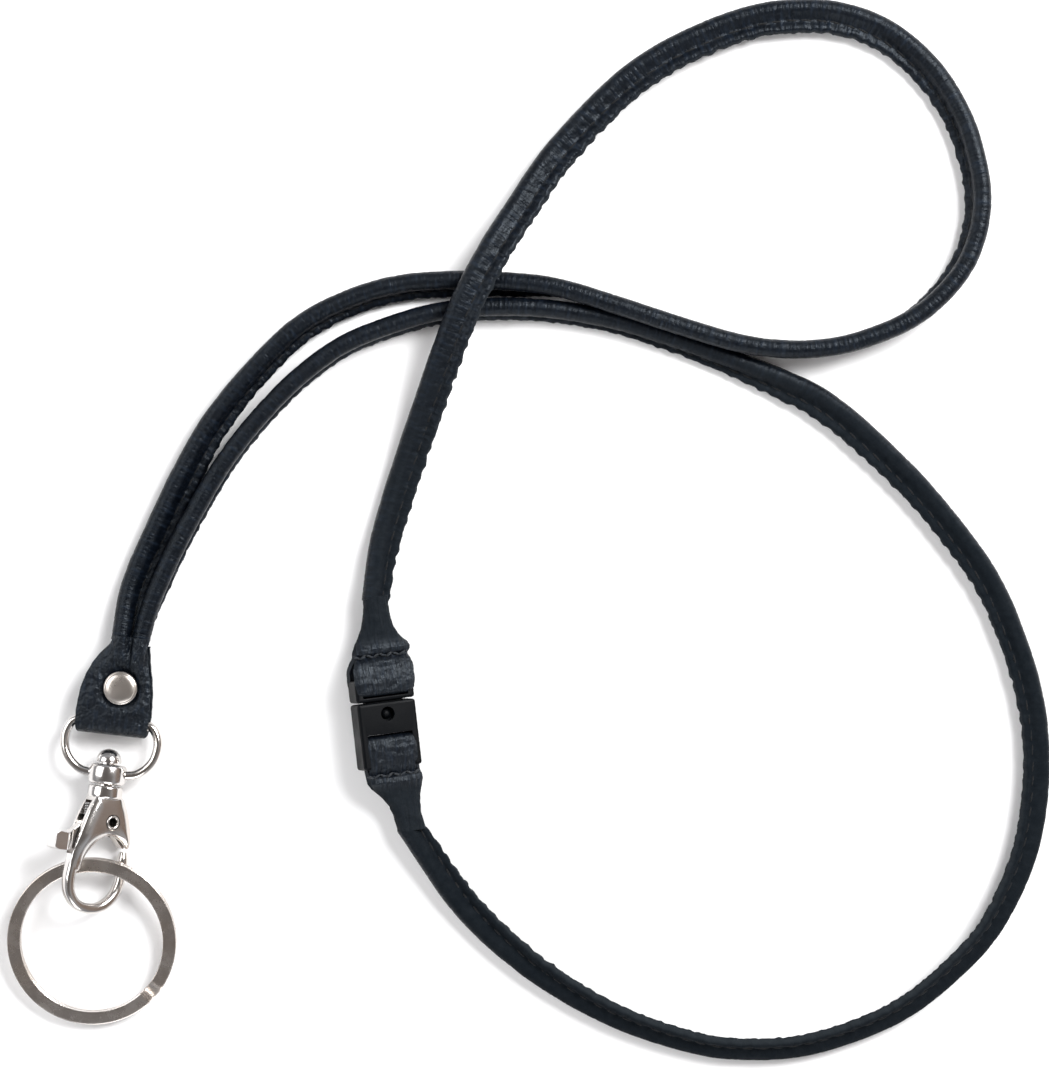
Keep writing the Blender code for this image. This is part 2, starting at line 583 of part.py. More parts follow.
def make_clasp(frame, materials):
    """The clasp's body: a neck, two cheeks with the lever's slot between them, and the hook."""
    half = CLASP_THICKNESS / 2
    body = bevelled_prism("clasp_body", clasp_outline(), -half, half, CLASP_EDGE)
    for point in body.data.vertices:
        share = (-point.co.y - CHEEK_TAPER_START) / (CHEEK_TAPER_END - CHEEK_TAPER_START)
        point.co.z *= 1 - CHEEK_TAPER * min(1, max(0, share))
    place(body, materials["nickel"], frame)
    hook = flat_sweep("clasp_hook", hook_route(), HOOK_HALF_WIDTH, (HOOK_HALF_FLAT, 0), 12)
    place(hook, parent=frame)
    combine(body, hook, "UNION")
    neck_edge = 0.3 * MM
    neck = turned("clasp_neck", [
        (0, NECK_TOP), (NECK_RADIUS - neck_edge, NECK_TOP), (NECK_RADIUS, NECK_TOP + neck_edge),
        (NECK_RADIUS, NECK_BOTTOM - neck_edge), (NECK_RADIUS - neck_edge, NECK_BOTTOM),
        (0, NECK_BOTTOM),
    ])
    place(neck, parent=frame, rotation=(pi / 2, 0, 0))
    combine(body, neck, "UNION")
    wide = 4 * NECK_RADIUS
    slot = prism("lever_slot", [
        (-wide, -SLOT_TOP), (wide, -SLOT_TOP), (wide, -SLOT_BOTTOM_AT_GATE),
        (0, -SLOT_BOTTOM_AT_GATE), (-PIN_RIGHT, -SLOT_BOTTOM), (-wide, -SLOT_BOTTOM),
    ], -SLOT_HALF, SLOT_HALF)
    place(slot, parent=frame)
    combine(body, slot, "DIFFERENCE")
    pin_hole = rod(
        "pin_hole", PIN_RADIUS + RUNNING_GAP, (PIN_RIGHT, -PIN_DROP, -CLASP_THICKNESS),
        (PIN_RIGHT, -PIN_DROP, CLASP_THICKNESS), 24,
    )
    place(pin_hole, parent=frame)
    combine(body, pin_hole, "DIFFERENCE")
    shank = rod(
        "shank_hole", POST_RADIUS + RUNNING_GAP, (0, -NECK_TOP + NECK_LENGTH, 0),
        (0, -NECK_TOP - POST_DEPTH_IN_CLASP - RUNNING_GAP, 0), 24,
    )
    place(shank, parent=frame)
    combine(body, shank, "DIFFERENCE")


def make_lever(frame, materials):
    """The gate lever, in its own frame on the pin: a gate arm and an arm with the thumb tab."""
    half = LEVER_THICKNESS / 2
    hub = LEVER_HUB_RADIUS
    gate_end = (3.65 * MM, -3.9 * MM)
    gate_way = atan2(gate_end[1], gate_end[0]) * 180 / pi
    thumb_top = [(-5.4 * MM, -0.2 * MM), (-7.8 * MM, -1.5 * MM), (-10.4 * MM, -2.9 * MM)]
    thumb_end = [(-10.8 * MM, -3.6 * MM), (-10.4 * MM, -4.9 * MM), (-9.6 * MM, -5.2 * MM)]
    thumb_low = [(-6.9 * MM, -5.8 * MM), (-5.2 * MM, -3.9 * MM)]
    outline = [
        *thumb_top[::-1], *arc((0, 0), hub, 150, 0, 9),
        *arc(gate_end, GATE_HALF_WIDTH, gate_way + 80, gate_way - 90, 7),
        *arc((0, 0), hub, gate_way - 62, gate_way - 120, 4), *thumb_low[::-1], *thumb_end[::-1],
    ]
    lever = prism("trigger_lever", outline, -half, half)
    place(lever, materials["nickel"], frame)
    hole = rod("lever_hole", PIN_RADIUS + RUNNING_GAP, (0, 0, -2 * half), (0, 0, 2 * half), 24)
    place(hole, parent=frame)
    combine(lever, hole, "DIFFERENCE")


def make_pin(frame, materials):
    """A tubular pin, flush with the cheeks."""
    half = CLASP_THICKNESS / 2
    pin = turned("lever_pin", [
        (PIN_BORE, -half), (PIN_RADIUS, -half), (PIN_RADIUS, half), (PIN_BORE, half), (PIN_BORE, -half),
    ], 24)
    place(pin, materials["nickel"], frame)


def make_spring(frame, materials):
    """The small coil that pushes the lever's thumb arm away from the neck."""
    top = -SLOT_TOP - TOUCH_GAP - SPRING_WIRE_RADIUS
    turns = np.linspace(0, 2 * pi * SPRING_TURNS, 10 * SPRING_TURNS + 1)
    points = [
        (-SPRING_LEFT + SPRING_RADIUS * cos(a), top - SPRING_LENGTH * a / turns[-1],
         SPRING_RADIUS * sin(a))
        for a in turns
    ]
    place(tube("lever_spring", points, SPRING_WIRE_RADIUS, sides=1), materials["spring_steel"], frame)


def ring_frame():
    """The ring leans on the floor at its far end and on the hook at its near end."""
    middle = (RING_OUTER_RADIUS + RING_INNER_RADIUS) / 2
    rise = RING_HEIGHT_AT_HOOK - RING_HALF_HEIGHT
    lean = rise / (middle + RING_OUTER_RADIUS)
    height = RING_HEIGHT_AT_HOOK - middle * sin(lean)
    return (*RING_CENTRE, height), lean


def make_ring(materials):
    """Two turns of flat wire with one step between the layers, in a frame on the ring's axis."""
    centre, lean = ring_frame()
    frame = frame_empty("ring_axis", centre, (lean, 0, 0))
    first = RING_STEP_ANGLE - 2 * pi + RING_STEP_SWEEP * 0.7
    last = RING_STEP_ANGLE + 2 * pi - RING_STEP_SWEEP * 0.7
    half = RING_WIRE_THICKNESS / 2
    rings = []
    coarse = list(np.linspace(first, RING_STEP_ANGLE - RING_STEP_SWEEP / 2, RING_SEGMENTS // 2))
    step = list(np.linspace(RING_STEP_ANGLE - RING_STEP_SWEEP / 2, RING_STEP_ANGLE + RING_STEP_SWEEP / 2, 5))
    rest = list(np.linspace(RING_STEP_ANGLE + RING_STEP_SWEEP / 2, last, RING_SEGMENTS // 2))
    for angle in coarse + step[1:-1] + rest:
        share = (angle - RING_STEP_ANGLE) / RING_STEP_SWEEP + 0.5
        share = min(1, max(0, share))
        level = RING_PITCH * (share * share * (3 - 2 * share) - 0.5)
        rings.append([
            (radius * cos(angle), radius * sin(angle), level + side * half)
            for radius, side in (
                (RING_INNER_RADIUS, -1), (RING_OUTER_RADIUS, -1),
                (RING_OUTER_RADIUS, 1), (RING_INNER_RADIUS, 1),
            )
        ])
    place(loft("split_ring", rings), materials["dark_nickel"], frame)


def buckle_half(name, frame, low, high, materials):
    half = BUCKLE_WIDTH / 2
    thick = BUCKLE_THICKNESS / 2
    body = box(name, (-half, low, -thick), (half, high, thick), BUCKLE_EDGE)
    return place(body, materials["black_plastic"], frame)


def cut_box(target, name, frame, low, high):
    place(box(name, low, high), parent=frame)
    return combine(target, bpy.data.objects[name], "DIFFERENCE")


def cross_bar(target, name, frame, near, side):
    """The bar that the leather goes round, from one arm of the frame to the other."""
    wide = BUCKLE_WIDTH / 2 - FRAME_ARM / 2
    ends = sorted((side * near, side * (near + BAR_WIDTH)))
    bar = box(name, (-wide, ends[0], -BAR_THICKNESS / 2), (wide, ends[1], BAR_THICKNESS / 2))
    place(bar, parent=frame)
    return combine(target, bar, "UNION")


def make_socket(frame, materials):
    """The buckle's lower half: a hollow for the prong, and a bar between two arms."""
    body = buckle_half("buckle_socket", frame, -SOCKET_LENGTH, -SPLIT_GAP / 2, materials)
    window = BUCKLE_WIDTH / 2 - FRAME_ARM
    cut_box(body, "socket_window", frame, (-window, -SOCKET_LENGTH - SPLIT_GAP, -BUCKLE_THICKNESS),
            (window, -SOCKET_SOLID, BUCKLE_THICKNESS))
    cross_bar(body, "socket_bar", frame, SOCKET_SOLID + SLOT_WIDTH, -1)
    wide = PRONG_WIDTH / 2 + PRONG_GAP
    thick = PRONG_THICKNESS / 2 + PRONG_GAP
    deep = PRONG_LENGTH + PRONG_GAP
    cut_box(body, "prong_hollow", frame, (-wide, -deep, -thick), (wide, SPLIT_GAP, thick))
    ball = LATCH_BALL_RADIUS + PRONG_GAP
    cut_box(body, "ball_groove", frame, (-ball, -LATCH_DEPTH, -thick),
            (ball, SPLIT_GAP, PRONG_THICKNESS / 2 + LATCH_BALL_RISE + PRONG_GAP / 2))
    hole = rod(
        "latch_hole", LATCH_HOLE_RADIUS, (0, -LATCH_DEPTH, 0), (0, -LATCH_DEPTH, BUCKLE_THICKNESS), 24
    )
    place(hole, parent=frame)
    combine(body, hole, "DIFFERENCE")


def make_plug(frame, materials):
    """The buckle's upper half: a prong with its latch ball, a lip, and a bar between two arms."""
    body = buckle_half("buckle_plug", frame, SPLIT_GAP / 2, PLUG_LENGTH, materials)
    window = BUCKLE_WIDTH / 2 - FRAME_ARM
    cut_box(body, "plug_window", frame, (-window, PLUG_LIP, -BUCKLE_THICKNESS),
            (window, PLUG_LENGTH + SPLIT_GAP, BUCKLE_THICKNESS))
    cross_bar(body, "plug_bar", frame, PLUG_LIP + SLOT_WIDTH, 1)
    wide = PRONG_WIDTH / 2
    thick = PRONG_THICKNESS / 2
    prong = box("prong", (-wide, -PRONG_LENGTH, -thick), (wide, PLUG_LIP / 2, thick), BUCKLE_EDGE / 2)
    place(prong, parent=frame)
    combine(body, prong, "UNION")
    ball = turned("latch_ball", [
        (0, -thick / 2), (LATCH_BALL_RADIUS, -thick / 2), (LATCH_BALL_RADIUS, 0),
        *[(LATCH_BALL_RADIUS * cos(a), LATCH_BALL_RISE * sin(a)) for a in (radians(35), radians(65))],
        (0, LATCH_BALL_RISE),
    ], 20)
    place(ball, parent=frame, location=(0, -LATCH_DEPTH, thick))
    combine(body, ball, "UNION")


def loop_middle(solid):
    """How far from the split the bar's middle lies, past a solid part and a slot."""
    return solid + SLOT_WIDTH + BAR_WIDTH / 2


def flare_tip(solid, side, shift=0.0):
    """The point on the buckle's frame where a strap's round part meets its flat end."""
    along = side * (loop_middle(solid) + FOLD_REACH + FLARE_LENGTH + TOUCH_GAP)
    turn = Matrix.Rotation(BUCKLE_TURN, 3, "Z") @ Matrix.Rotation(BUCKLE_ROLL, 3, "Y")
    return tuple(turn @ Vector((shift, along, 0)) + Vector((*BUCKLE_CENTRE, BUCKLE_HEIGHT)))


def make_loop(name, frame, solid, arm_end, side, shift, wide_half, materials):
    """The strap's flat end, taken round a bar and stitched back on itself, with its flare.

    side is +1 for the upper loop and -1 for the lower one; shift moves the flare's tip across.
    """
    middle = loop_middle(solid)
    hole = hypot(BAR_WIDTH / 2, BAR_THICKNESS / 2) + LOOP_GAP
    outer = hole + LOOP_LEATHER
    flat = LOOP_LEATHER + SEAT_GAP
    end = middle + FOLD_REACH
    tip = end + FLARE_LENGTH
    near_end = end - 0.8 * outer
    profile = arc((middle, 0), outer, 90, 270, 13)
    profile += [(near_end, -outer * 0.9), (end, -flat), (tip, -flat)]
    profile += [(tip, flat), (end, flat), (near_end, outer * 0.9)]
    reach = BUCKLE_WIDTH
    loop = prism(name, [(side * a, b) for a, b in profile], -reach, reach, "yz")
    place(loop, materials["strap_leather"], frame)
    pocket = arc((middle, 0), hole, 90, 270, 13)
    pocket += [(near_end, -hole * 0.8), (end - LOOP_LEATHER, 0), (near_end, hole * 0.8)]
    inside = prism(
        name + "_pocket", [(side * a, b) for a, b in pocket], -2 * reach, 2 * reach, "yz"
    )
    place(inside, parent=frame)
    combine(loop, inside, "DIFFERENCE")
    half = BUCKLE_WIDTH / 2 - FRAME_ARM - LOOP_SIDE_GAP
    narrow = FLARE_TIP_WIDTH / 2
    left = [
        (-half, middle - 2 * outer), (-half, arm_end + TOUCH_GAP),
        (-wide_half, arm_end + TOUCH_GAP + (wide_half - half)), (-wide_half, end - outer / 2),
        (-FLARE_WIDTH / 2, end), (shift - narrow, tip + TOUCH_GAP),
    ]
    right = [
        (half, middle - 2 * outer), (half, arm_end + TOUCH_GAP),
        (wide_half, arm_end + TOUCH_GAP + (wide_half - half)), (wide_half, end - outer / 2),
        (FLARE_WIDTH / 2, end), (shift + narrow, tip + TOUCH_GAP),
    ]
    plan = [(a, side * b) for a, b in left + right[::-1]]
    outline = prism(name + "_plan", plan, -BUCKLE_THICKNESS, BUCKLE_THICKNESS)
    place(outline, parent=frame)
    combine(loop, outline, "INTERSECT")


def make_buckle(materials):
    frame = frame_empty(
        "buckle_axis", (*BUCKLE_CENTRE, BUCKLE_HEIGHT), (0, BUCKLE_ROLL, BUCKLE_TURN)
    )
    make_socket(frame, materials)
    make_plug(frame, materials)
    wide = BUCKLE_WIDTH / 2 + LOOP_BULGE
    make_loop("loop_upper", frame, PLUG_LIP, PLUG_LENGTH, 1, 0, wide, materials)
    inside = BUCKLE_WIDTH / 2 - FRAME_ARM - LOOP_SIDE_GAP
    make_loop(
        "loop_lower", frame, SOCKET_SOLID, SOCKET_LENGTH, -1, LOWER_FLARE_SHIFT,
        (inside + FLARE_WIDTH / 2) / 2, materials,
    )


def main():
    clear_scene()
    materials = {
        "strap_leather": finish_material("strap_leather", (0.012, 0.017, 0.026), 0.55, 0),
        "tab_leather": finish_material("tab_leather", (0.014, 0.019, 0.030), 0.45, 0),
        "core_cord": finish_material("core_cord", (0.03, 0.03, 0.03), 0.9, 0),
        "nickel": finish_material("nickel", (0.72, 0.70, 0.68), 0.12, 1),
        "dark_nickel": finish_material("dark_nickel", (0.38, 0.36, 0.34), 0.3, 1),
        "spring_steel": finish_material("spring_steel", (0.45, 0.45, 0.46), 0.35, 1),
        "black_plastic": finish_material("black_plastic", (0.01, 0.011, 0.013), 0.5, 0),
    }
    make_straps(materials)
    tab_frame = frame_empty("tab_axis", (0, 0, 0), (0, 0, HARDWARE_TURN))
    make_tab(tab_frame, materials)
    make_tongues(tab_frame, materials)
    make_rivet(materials)
    eye_frame = frame_empty(
        "eye_axis", (BAR_OFFSET, -BAR_BELOW_RIVET, BAR_HEIGHT), (HARDWARE_PITCH, 0, 0), tab_frame
    )
    make_eye(eye_frame, materials)
    make_post(eye_frame, materials)
    clasp_frame = frame_empty("clasp_axis", (0, 0, 0), (0, CLASP_ROLL, 0), eye_frame)
    make_clasp(clasp_frame, materials)
    make_spring(clasp_frame, materials)
    pin_frame = frame_empty("pin_axis", (PIN_RIGHT, -PIN_DROP, 0), (0, 0, 0), clasp_frame)
    make_lever(pin_frame, materials)
    make_pin(pin_frame, materials)
    make_ring(materials)
    make_buckle(materials)


main()
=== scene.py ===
# %% [markdown]
# # A leather neck lanyard
# A lanyard is two rolled leather straps. At one end they are riveted into a leather tab that
# holds a swivel clasp and a key ring, and at the other end they meet in a breakaway buckle.
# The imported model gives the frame: every piece below is built round it, in metres.

# %% Load the frame
import json
from math import cos, hypot, pi, radians, sin

import bmesh
import bpy
import numpy as np
from mathutils import Matrix, Vector, noise
from mathutils.kdtree import KDTree


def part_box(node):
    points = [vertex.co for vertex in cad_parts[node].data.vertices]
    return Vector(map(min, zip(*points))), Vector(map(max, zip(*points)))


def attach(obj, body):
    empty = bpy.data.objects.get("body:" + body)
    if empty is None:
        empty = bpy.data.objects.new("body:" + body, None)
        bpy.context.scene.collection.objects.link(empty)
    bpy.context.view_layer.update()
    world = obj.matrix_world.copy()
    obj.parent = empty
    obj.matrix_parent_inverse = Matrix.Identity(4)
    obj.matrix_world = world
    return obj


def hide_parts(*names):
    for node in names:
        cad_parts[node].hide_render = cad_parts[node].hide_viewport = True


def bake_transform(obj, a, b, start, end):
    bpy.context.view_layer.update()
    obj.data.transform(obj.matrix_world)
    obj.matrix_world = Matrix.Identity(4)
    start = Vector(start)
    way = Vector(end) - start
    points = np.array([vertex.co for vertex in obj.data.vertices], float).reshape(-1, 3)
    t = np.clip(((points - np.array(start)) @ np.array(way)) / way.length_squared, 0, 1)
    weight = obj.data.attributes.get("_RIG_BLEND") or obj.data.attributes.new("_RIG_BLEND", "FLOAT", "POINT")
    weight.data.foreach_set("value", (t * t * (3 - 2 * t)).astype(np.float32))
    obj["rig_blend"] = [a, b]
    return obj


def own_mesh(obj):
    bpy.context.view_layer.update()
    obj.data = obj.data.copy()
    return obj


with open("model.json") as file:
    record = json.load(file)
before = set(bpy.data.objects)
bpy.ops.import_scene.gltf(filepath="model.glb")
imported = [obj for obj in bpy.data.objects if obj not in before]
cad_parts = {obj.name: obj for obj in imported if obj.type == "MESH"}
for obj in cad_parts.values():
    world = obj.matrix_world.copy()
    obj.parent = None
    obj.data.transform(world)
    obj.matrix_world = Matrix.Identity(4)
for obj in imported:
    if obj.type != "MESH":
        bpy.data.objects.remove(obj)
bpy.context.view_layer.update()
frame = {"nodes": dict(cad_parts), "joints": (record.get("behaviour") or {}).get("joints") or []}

MM = 0.001

# %% [markdown]
# ## Where things turn
# The joints already say where each piece sits and which way it points. From a joint's point and
# two axes comes a matrix, and a piece that is drawn flat and upright at the origin is carried
# into place by that matrix. That is easier to read than working out slanted coordinates.

# %% Frames from the joints
joints = {joint["name"]: joint for joint in frame["joints"]}
UP = Vector((0, 0, 1))


def place_frame(origin, y_axis, z_axis):
    """A matrix whose Y and Z axes point the given ways, and whose origin is the given point."""
    y_axis = Vector(y_axis).normalized()
    x_axis = y_axis.cross(Vector(z_axis)).normalized()
    turn = Matrix((x_axis, y_axis, x_axis.cross(y_axis))).transposed().to_4x4()
    return Matrix.Translation(Vector(origin)) @ turn


bar_point = joints["eye_swing"]["pos_m"]
bar_axis = Vector(joints["eye_swing"]["axis"])
swivel_axis = Vector(joints["clasp_swivel"]["axis"])
pivot_axis = -Vector(joints["trigger_pivot"]["axis"])
release_axis = Vector(joints["plug_release"]["axis"])
ring_axis = Vector(joints["ring_turn"]["axis"])

BUCKLE_ROLL = radians(20)
BUCKLE_POINT = (0.0493, -0.0025, 0.00441)
buckle_across = release_axis.cross(UP)
tab_frame = place_frame((0, 0, 0), UP.cross(bar_axis), UP)
eye_frame = place_frame(bar_point, swivel_axis, bar_axis.cross(swivel_axis))
clasp_frame = place_frame(bar_point, swivel_axis, pivot_axis)
pin_frame = place_frame(joints["trigger_pivot"]["pos_m"], swivel_axis, pivot_axis)
ring_frame = place_frame(joints["ring_turn"]["pos_m"], ring_axis.cross(Vector((1, 0, 0))), ring_axis)
buckle_frame = place_frame(
    BUCKLE_POINT, release_axis, cos(BUCKLE_ROLL) * UP + sin(BUCKLE_ROLL) * buckle_across
)
print("clasp's front faces", [round(value, 2) for value in pivot_axis])

# %% [markdown]
# ## Camera, floor and light
# The lanyard lies flat and is seen from straight above. A lens well above it shows a little of
# the sides of the pieces that lie away from the middle. The floor is plain and pale. One large
# soft light stands to the upper right, and two weaker ones, to the left and in front, keep the
# shadows open. Polished metal only shows what is round it, so the sky is a warm grey overhead,
# pale towards the horizon, and brown low on the right, where it falls on the clasp's cheek.

# %% Camera
VIEW_MIDDLE = (0.0762, 0.0287)
VIEW_TALL = 0.2042
CAMERA_HEIGHT = 0.64
SENSOR = 36
camera_data = bpy.data.cameras.new("camera")
camera_data.sensor_width = SENSOR
camera_data.lens = SENSOR * CAMERA_HEIGHT / VIEW_TALL
camera = bpy.data.objects.new("camera", camera_data)
camera.location = (*VIEW_MIDDLE, CAMERA_HEIGHT)
bpy.context.collection.objects.link(camera)
bpy.context.scene.camera = camera
bpy.context.scene.view_settings.view_transform = "Standard"
print("lens", round(camera_data.lens), "mm")


# %% Nodes for a finish
def fill_socket(material, socket, value):
    """Links another node's output to a socket, or sets the socket's own value."""
    if isinstance(value, bpy.types.NodeSocket):
        material.node_tree.links.new(value, socket)
    else:
        socket.default_value = value


def add_node(material, kind, inputs=None, **settings):
    """A shader node of one kind, with its settings and its sockets filled in."""
    made = material.node_tree.nodes.new("ShaderNode" + kind)
    for name, value in settings.items():
        setattr(made, name, value)
    for name, value in (inputs or {}).items():
        fill_socket(material, made.inputs[name], value)
    return made


def feed(material, source, socket_name):
    """Links a node's output to a socket of the material's Principled shader."""
    shader = material.node_tree.nodes["Principled BSDF"]
    material.node_tree.links.new(source, shader.inputs[socket_name])


def new_finish(name, colour, roughness, metallic=0.0, **fixed):
    """A Principled material whose constant values sit on the shader's own sockets."""
    material = bpy.data.materials.new(name)
    material.use_nodes = True
    shader = material.node_tree.nodes["Principled BSDF"]
    shader.inputs["Base Color"].default_value = (*colour, 1)
    shader.inputs["Roughness"].default_value = roughness
    shader.inputs["Metallic"].default_value = metallic
    for socket_name, value in fixed.items():
        shader.inputs[socket_name.replace("_", " ")].default_value = value
    return material


def attribute(material, name):
    return add_node(material, "Attribute", attribute_name=name).outputs["Fac"]


def object_point(material):
    return add_node(material, "TexCoord").outputs["Object"]


def cloud(material, point, scale, detail=2.0, roughness=0.5):
    """Soft noise from 0 to 1. The scale is in lumps per metre."""
    inputs = {"Vector": point, "Scale": scale, "Detail": detail, "Roughness": roughness}
    return add_node(material, "TexNoise", inputs).outputs["Fac"]


def between(material, value, low, high, low_to=0.0, high_to=1.0):
    inputs = {"Value": value, "From Min": low, "From Max": high, "To Min": low_to, "To Max": high_to}
    return add_node(material, "MapRange", inputs).outputs["Result"]


def mixed(material, share, first, second):
    """A colour between two colours or colour sockets."""
    made = add_node(material, "Mix", data_type="RGBA")
    sockets = [item for item in made.inputs if item.name in ("A", "B") and item.type == "RGBA"]
    for socket, value in zip([made.inputs[0], *sockets], (share, first, second)):
        fill_socket(material, socket, (*value, 1) if isinstance(value, tuple) else value)
    return next(item for item in made.outputs if item.type == "RGBA")


def maths(material, operation, first, second):
    made = add_node(material, "Math", operation=operation)
    for socket, value in zip(made.inputs, (first, second)):
        fill_socket(material, socket, value)
    return made.outputs["Value"]


def relief(material, heights):
    """A chain of Bump nodes. Each height comes with its depth in metres."""
    normal = None
    for height, depth in heights:
        inputs = {"Height": height, "Distance": depth, "Strength": 1.0}
        if normal is not None:
            inputs["Normal"] = normal
        normal = add_node(material, "Bump", inputs).outputs["Normal"]
    feed(material, normal, "Normal")


print("node helpers ready")

# %% Floor
FLOOR_HALF = 3.0
shape = bmesh.new()
bmesh.ops.create_grid(shape, x_segments=1, y_segments=1, size=FLOOR_HALF)
bmesh.ops.translate(shape, verts=shape.verts, vec=(0, 0, -0.05 * MM))
floor_mesh = bpy.data.meshes.new("floor")
shape.to_mesh(floor_mesh)
shape.free()
floor = bpy.data.objects.new("floor", floor_mesh)
bpy.context.collection.objects.link(floor)
floor_mesh.materials.append(new_finish("white_paper", (0.93, 0.93, 0.935), 0.9))
print("floor", 2 * FLOOR_HALF, "m wide")

# %% Lights and sky
LIGHTS = {
    "key": ((0.55, 0.42, 0.62), 0.42, 12.0),
    "fill": ((-0.55, 0.25, 0.60), 0.60, 4.2),
    "front": ((0.10, -0.75, 0.45), 0.50, 3.0),
}
for light_name, (where, width, power) in LIGHTS.items():
    light_data = bpy.data.lights.new(light_name, "AREA")
    light_data.size = width
    light_data.energy = power
    lamp = bpy.data.objects.new(light_name, light_data)
    lamp.location = where
    aim = Vector(where) - Vector((*VIEW_MIDDLE, 0))
    lamp.rotation_euler = aim.to_track_quat("Z", "Y").to_euler()
    bpy.context.collection.objects.link(lamp)

world = bpy.data.worlds.new("studio")
world.use_nodes = True
bpy.context.scene.world = world
SKY_BANDS = [
    (0.0, (0.85, 0.86, 0.88)), (0.34, (0.62, 0.63, 0.66)), (0.55, (1.0, 1.02, 1.06)),
    (0.80, (0.42, 0.39, 0.375)), (1.0, (0.33, 0.30, 0.285)),
]
SKY_BROWN = (0.64, 0.50, 0.42, 1)
SKY_STRENGTH = 0.46
way = add_node(world, "SeparateXYZ", {"Vector": add_node(world, "TexCoord").outputs["Generated"]})
sky = add_node(world, "ValToRGB", {"Fac": way.outputs["Z"]})
while len(sky.color_ramp.elements) < len(SKY_BANDS):
    sky.color_ramp.elements.new(0.5)
for band, (where, colour) in zip(sky.color_ramp.elements, SKY_BANDS):
    band.position = where
    band.color = (*colour, 1)
rightward = between(world, way.outputs["X"], 0.72, 0.92)
brown_right = add_node(
    world, "MixRGB", {"Fac": rightward, "Color1": sky.outputs["Color"], "Color2": SKY_BROWN}
)
background = world.node_tree.nodes["Background"].inputs
fill_socket(world, background["Color"], brown_right.outputs["Color"])
background["Strength"].default_value = SKY_STRENGTH
print(len(LIGHTS), "lights")

# %% [markdown]
# ## Leather
# The straps are thin garment leather, dyed a blue so dark that it reads as black. The grain side
# is slightly glossy and pebbled, and it creases across where the leather is rolled. The flesh
# side is matt suede. One recipe serves every leather piece: fine pebbles in Object coordinates,
# creases that follow the piece's own along and across measures, and two painted amounts, nap
# for suede and rim for a raw cut edge.


# %% Leather recipe
PAINTED_LAYERS = ("along_m", "across_m", "nap", "rim")
NAVY_DARK = (0.0006, 0.0012, 0.0026)
NAVY_LIGHT = (0.0022, 0.0036, 0.0064)
# Painted highlight: a lighter blue that is mixed onto the crease ridges.
CREASE_PAINTED_HIGHLIGHT = (0.0068, 0.0110, 0.0190)
SUEDE_DARK = (0.0004, 0.0010, 0.0020)
SUEDE_LIGHT = (0.0030, 0.0055, 0.0085)
RAW_EDGE = (0.012, 0.015, 0.018)
LEATHER_TINT = (0.80, 0.90, 1.0, 1)
PEBBLES_PER_METRE = 1900.0


def leather_finish(name, gloss, roughness, crease_scale, crease_depth, pebble_depth):
    """crease_scale is creases per metre along and across the piece."""
    material = new_finish(
        name, NAVY_DARK, roughness, Specular_IOR_Level=gloss, Specular_Tint=LEATHER_TINT
    )
    point = object_point(material)
    along, across, nap, rim = (attribute(material, layer) for layer in PAINTED_LAYERS)
    crease_point = add_node(material, "CombineXYZ", {
        "X": maths(material, "MULTIPLY", along, crease_scale[0]),
        "Y": maths(material, "MULTIPLY", across, crease_scale[1]),
    }).outputs["Vector"]
    creases = cloud(material, crease_point, 1.0, 2.0)
    pebble_inputs = {"Vector": point, "Scale": PEBBLES_PER_METRE, "Smoothness": 0.6}
    pebbles = add_node(material, "TexVoronoi", pebble_inputs, feature="SMOOTH_F1").outputs["Distance"]
    fuzz = cloud(material, point, 9000.0, 3.0, 0.7)
    blotches = cloud(material, point, 330.0, 4.0, 0.6)
    grain_side = mixed(material, between(material, blotches, 0.3, 0.7), NAVY_DARK, NAVY_LIGHT)
    # Painted highlight on the crease ridges: the colour turns lighter where the creases rise.
    crease_highlight_share = between(material, creases, 0.50, 0.72, 0.0, 0.8)
    grain_side = mixed(material, crease_highlight_share, grain_side, CREASE_PAINTED_HIGHLIGHT)
    suede = mixed(material, between(material, fuzz, 0.3, 0.7), SUEDE_DARK, SUEDE_LIGHT)
    colour = mixed(material, nap, grain_side, suede)
    feed(material, mixed(material, rim, colour, RAW_EDGE), "Base Color")
    handled = cloud(material, point, 700.0, 3.0)
    sheen = between(material, handled, 0.3, 0.7, roughness - 0.08, roughness + 0.1)
    matt = maths(material, "MAXIMUM", nap, rim)
    feed(material, maths(material, "ADD", sheen, maths(material, "MULTIPLY", matt, 0.5)), "Roughness")
    relief(material, [(fuzz, 0.03 * MM), (pebbles, pebble_depth), (creases, crease_depth)])
    return material


strap_finish = leather_finish("rolled_leather", 0.21, 0.38, (1350.0, 300.0), 0.20 * MM, 0.05 * MM)
tab_finish = leather_finish("tab_leather_grain", 0.30, 0.38, (420.0, 1500.0), 0.16 * MM, 0.10 * MM)
loop_finish = leather_finish(
    "loop_leather_streaks", 0.30, 0.42, (260.0, 1900.0), 0.30 * MM, 0.06 * MM
)
print("leather finishes:", strap_finish.name, tab_finish.name, loop_finish.name)

# %% [markdown]
# ## Thread, cord, metal and plastic
# Thread and the hidden filler cord are twisted, so a wave at a slant along the piece gives the
# plies. The castings are nickel plated: bright, faintly brown, with hair scratches. The ring and
# the rivet are satin, so their roughness is higher and uneven. The buckle is moulded in a matt
# black plastic with a fine spark-eroded surface.


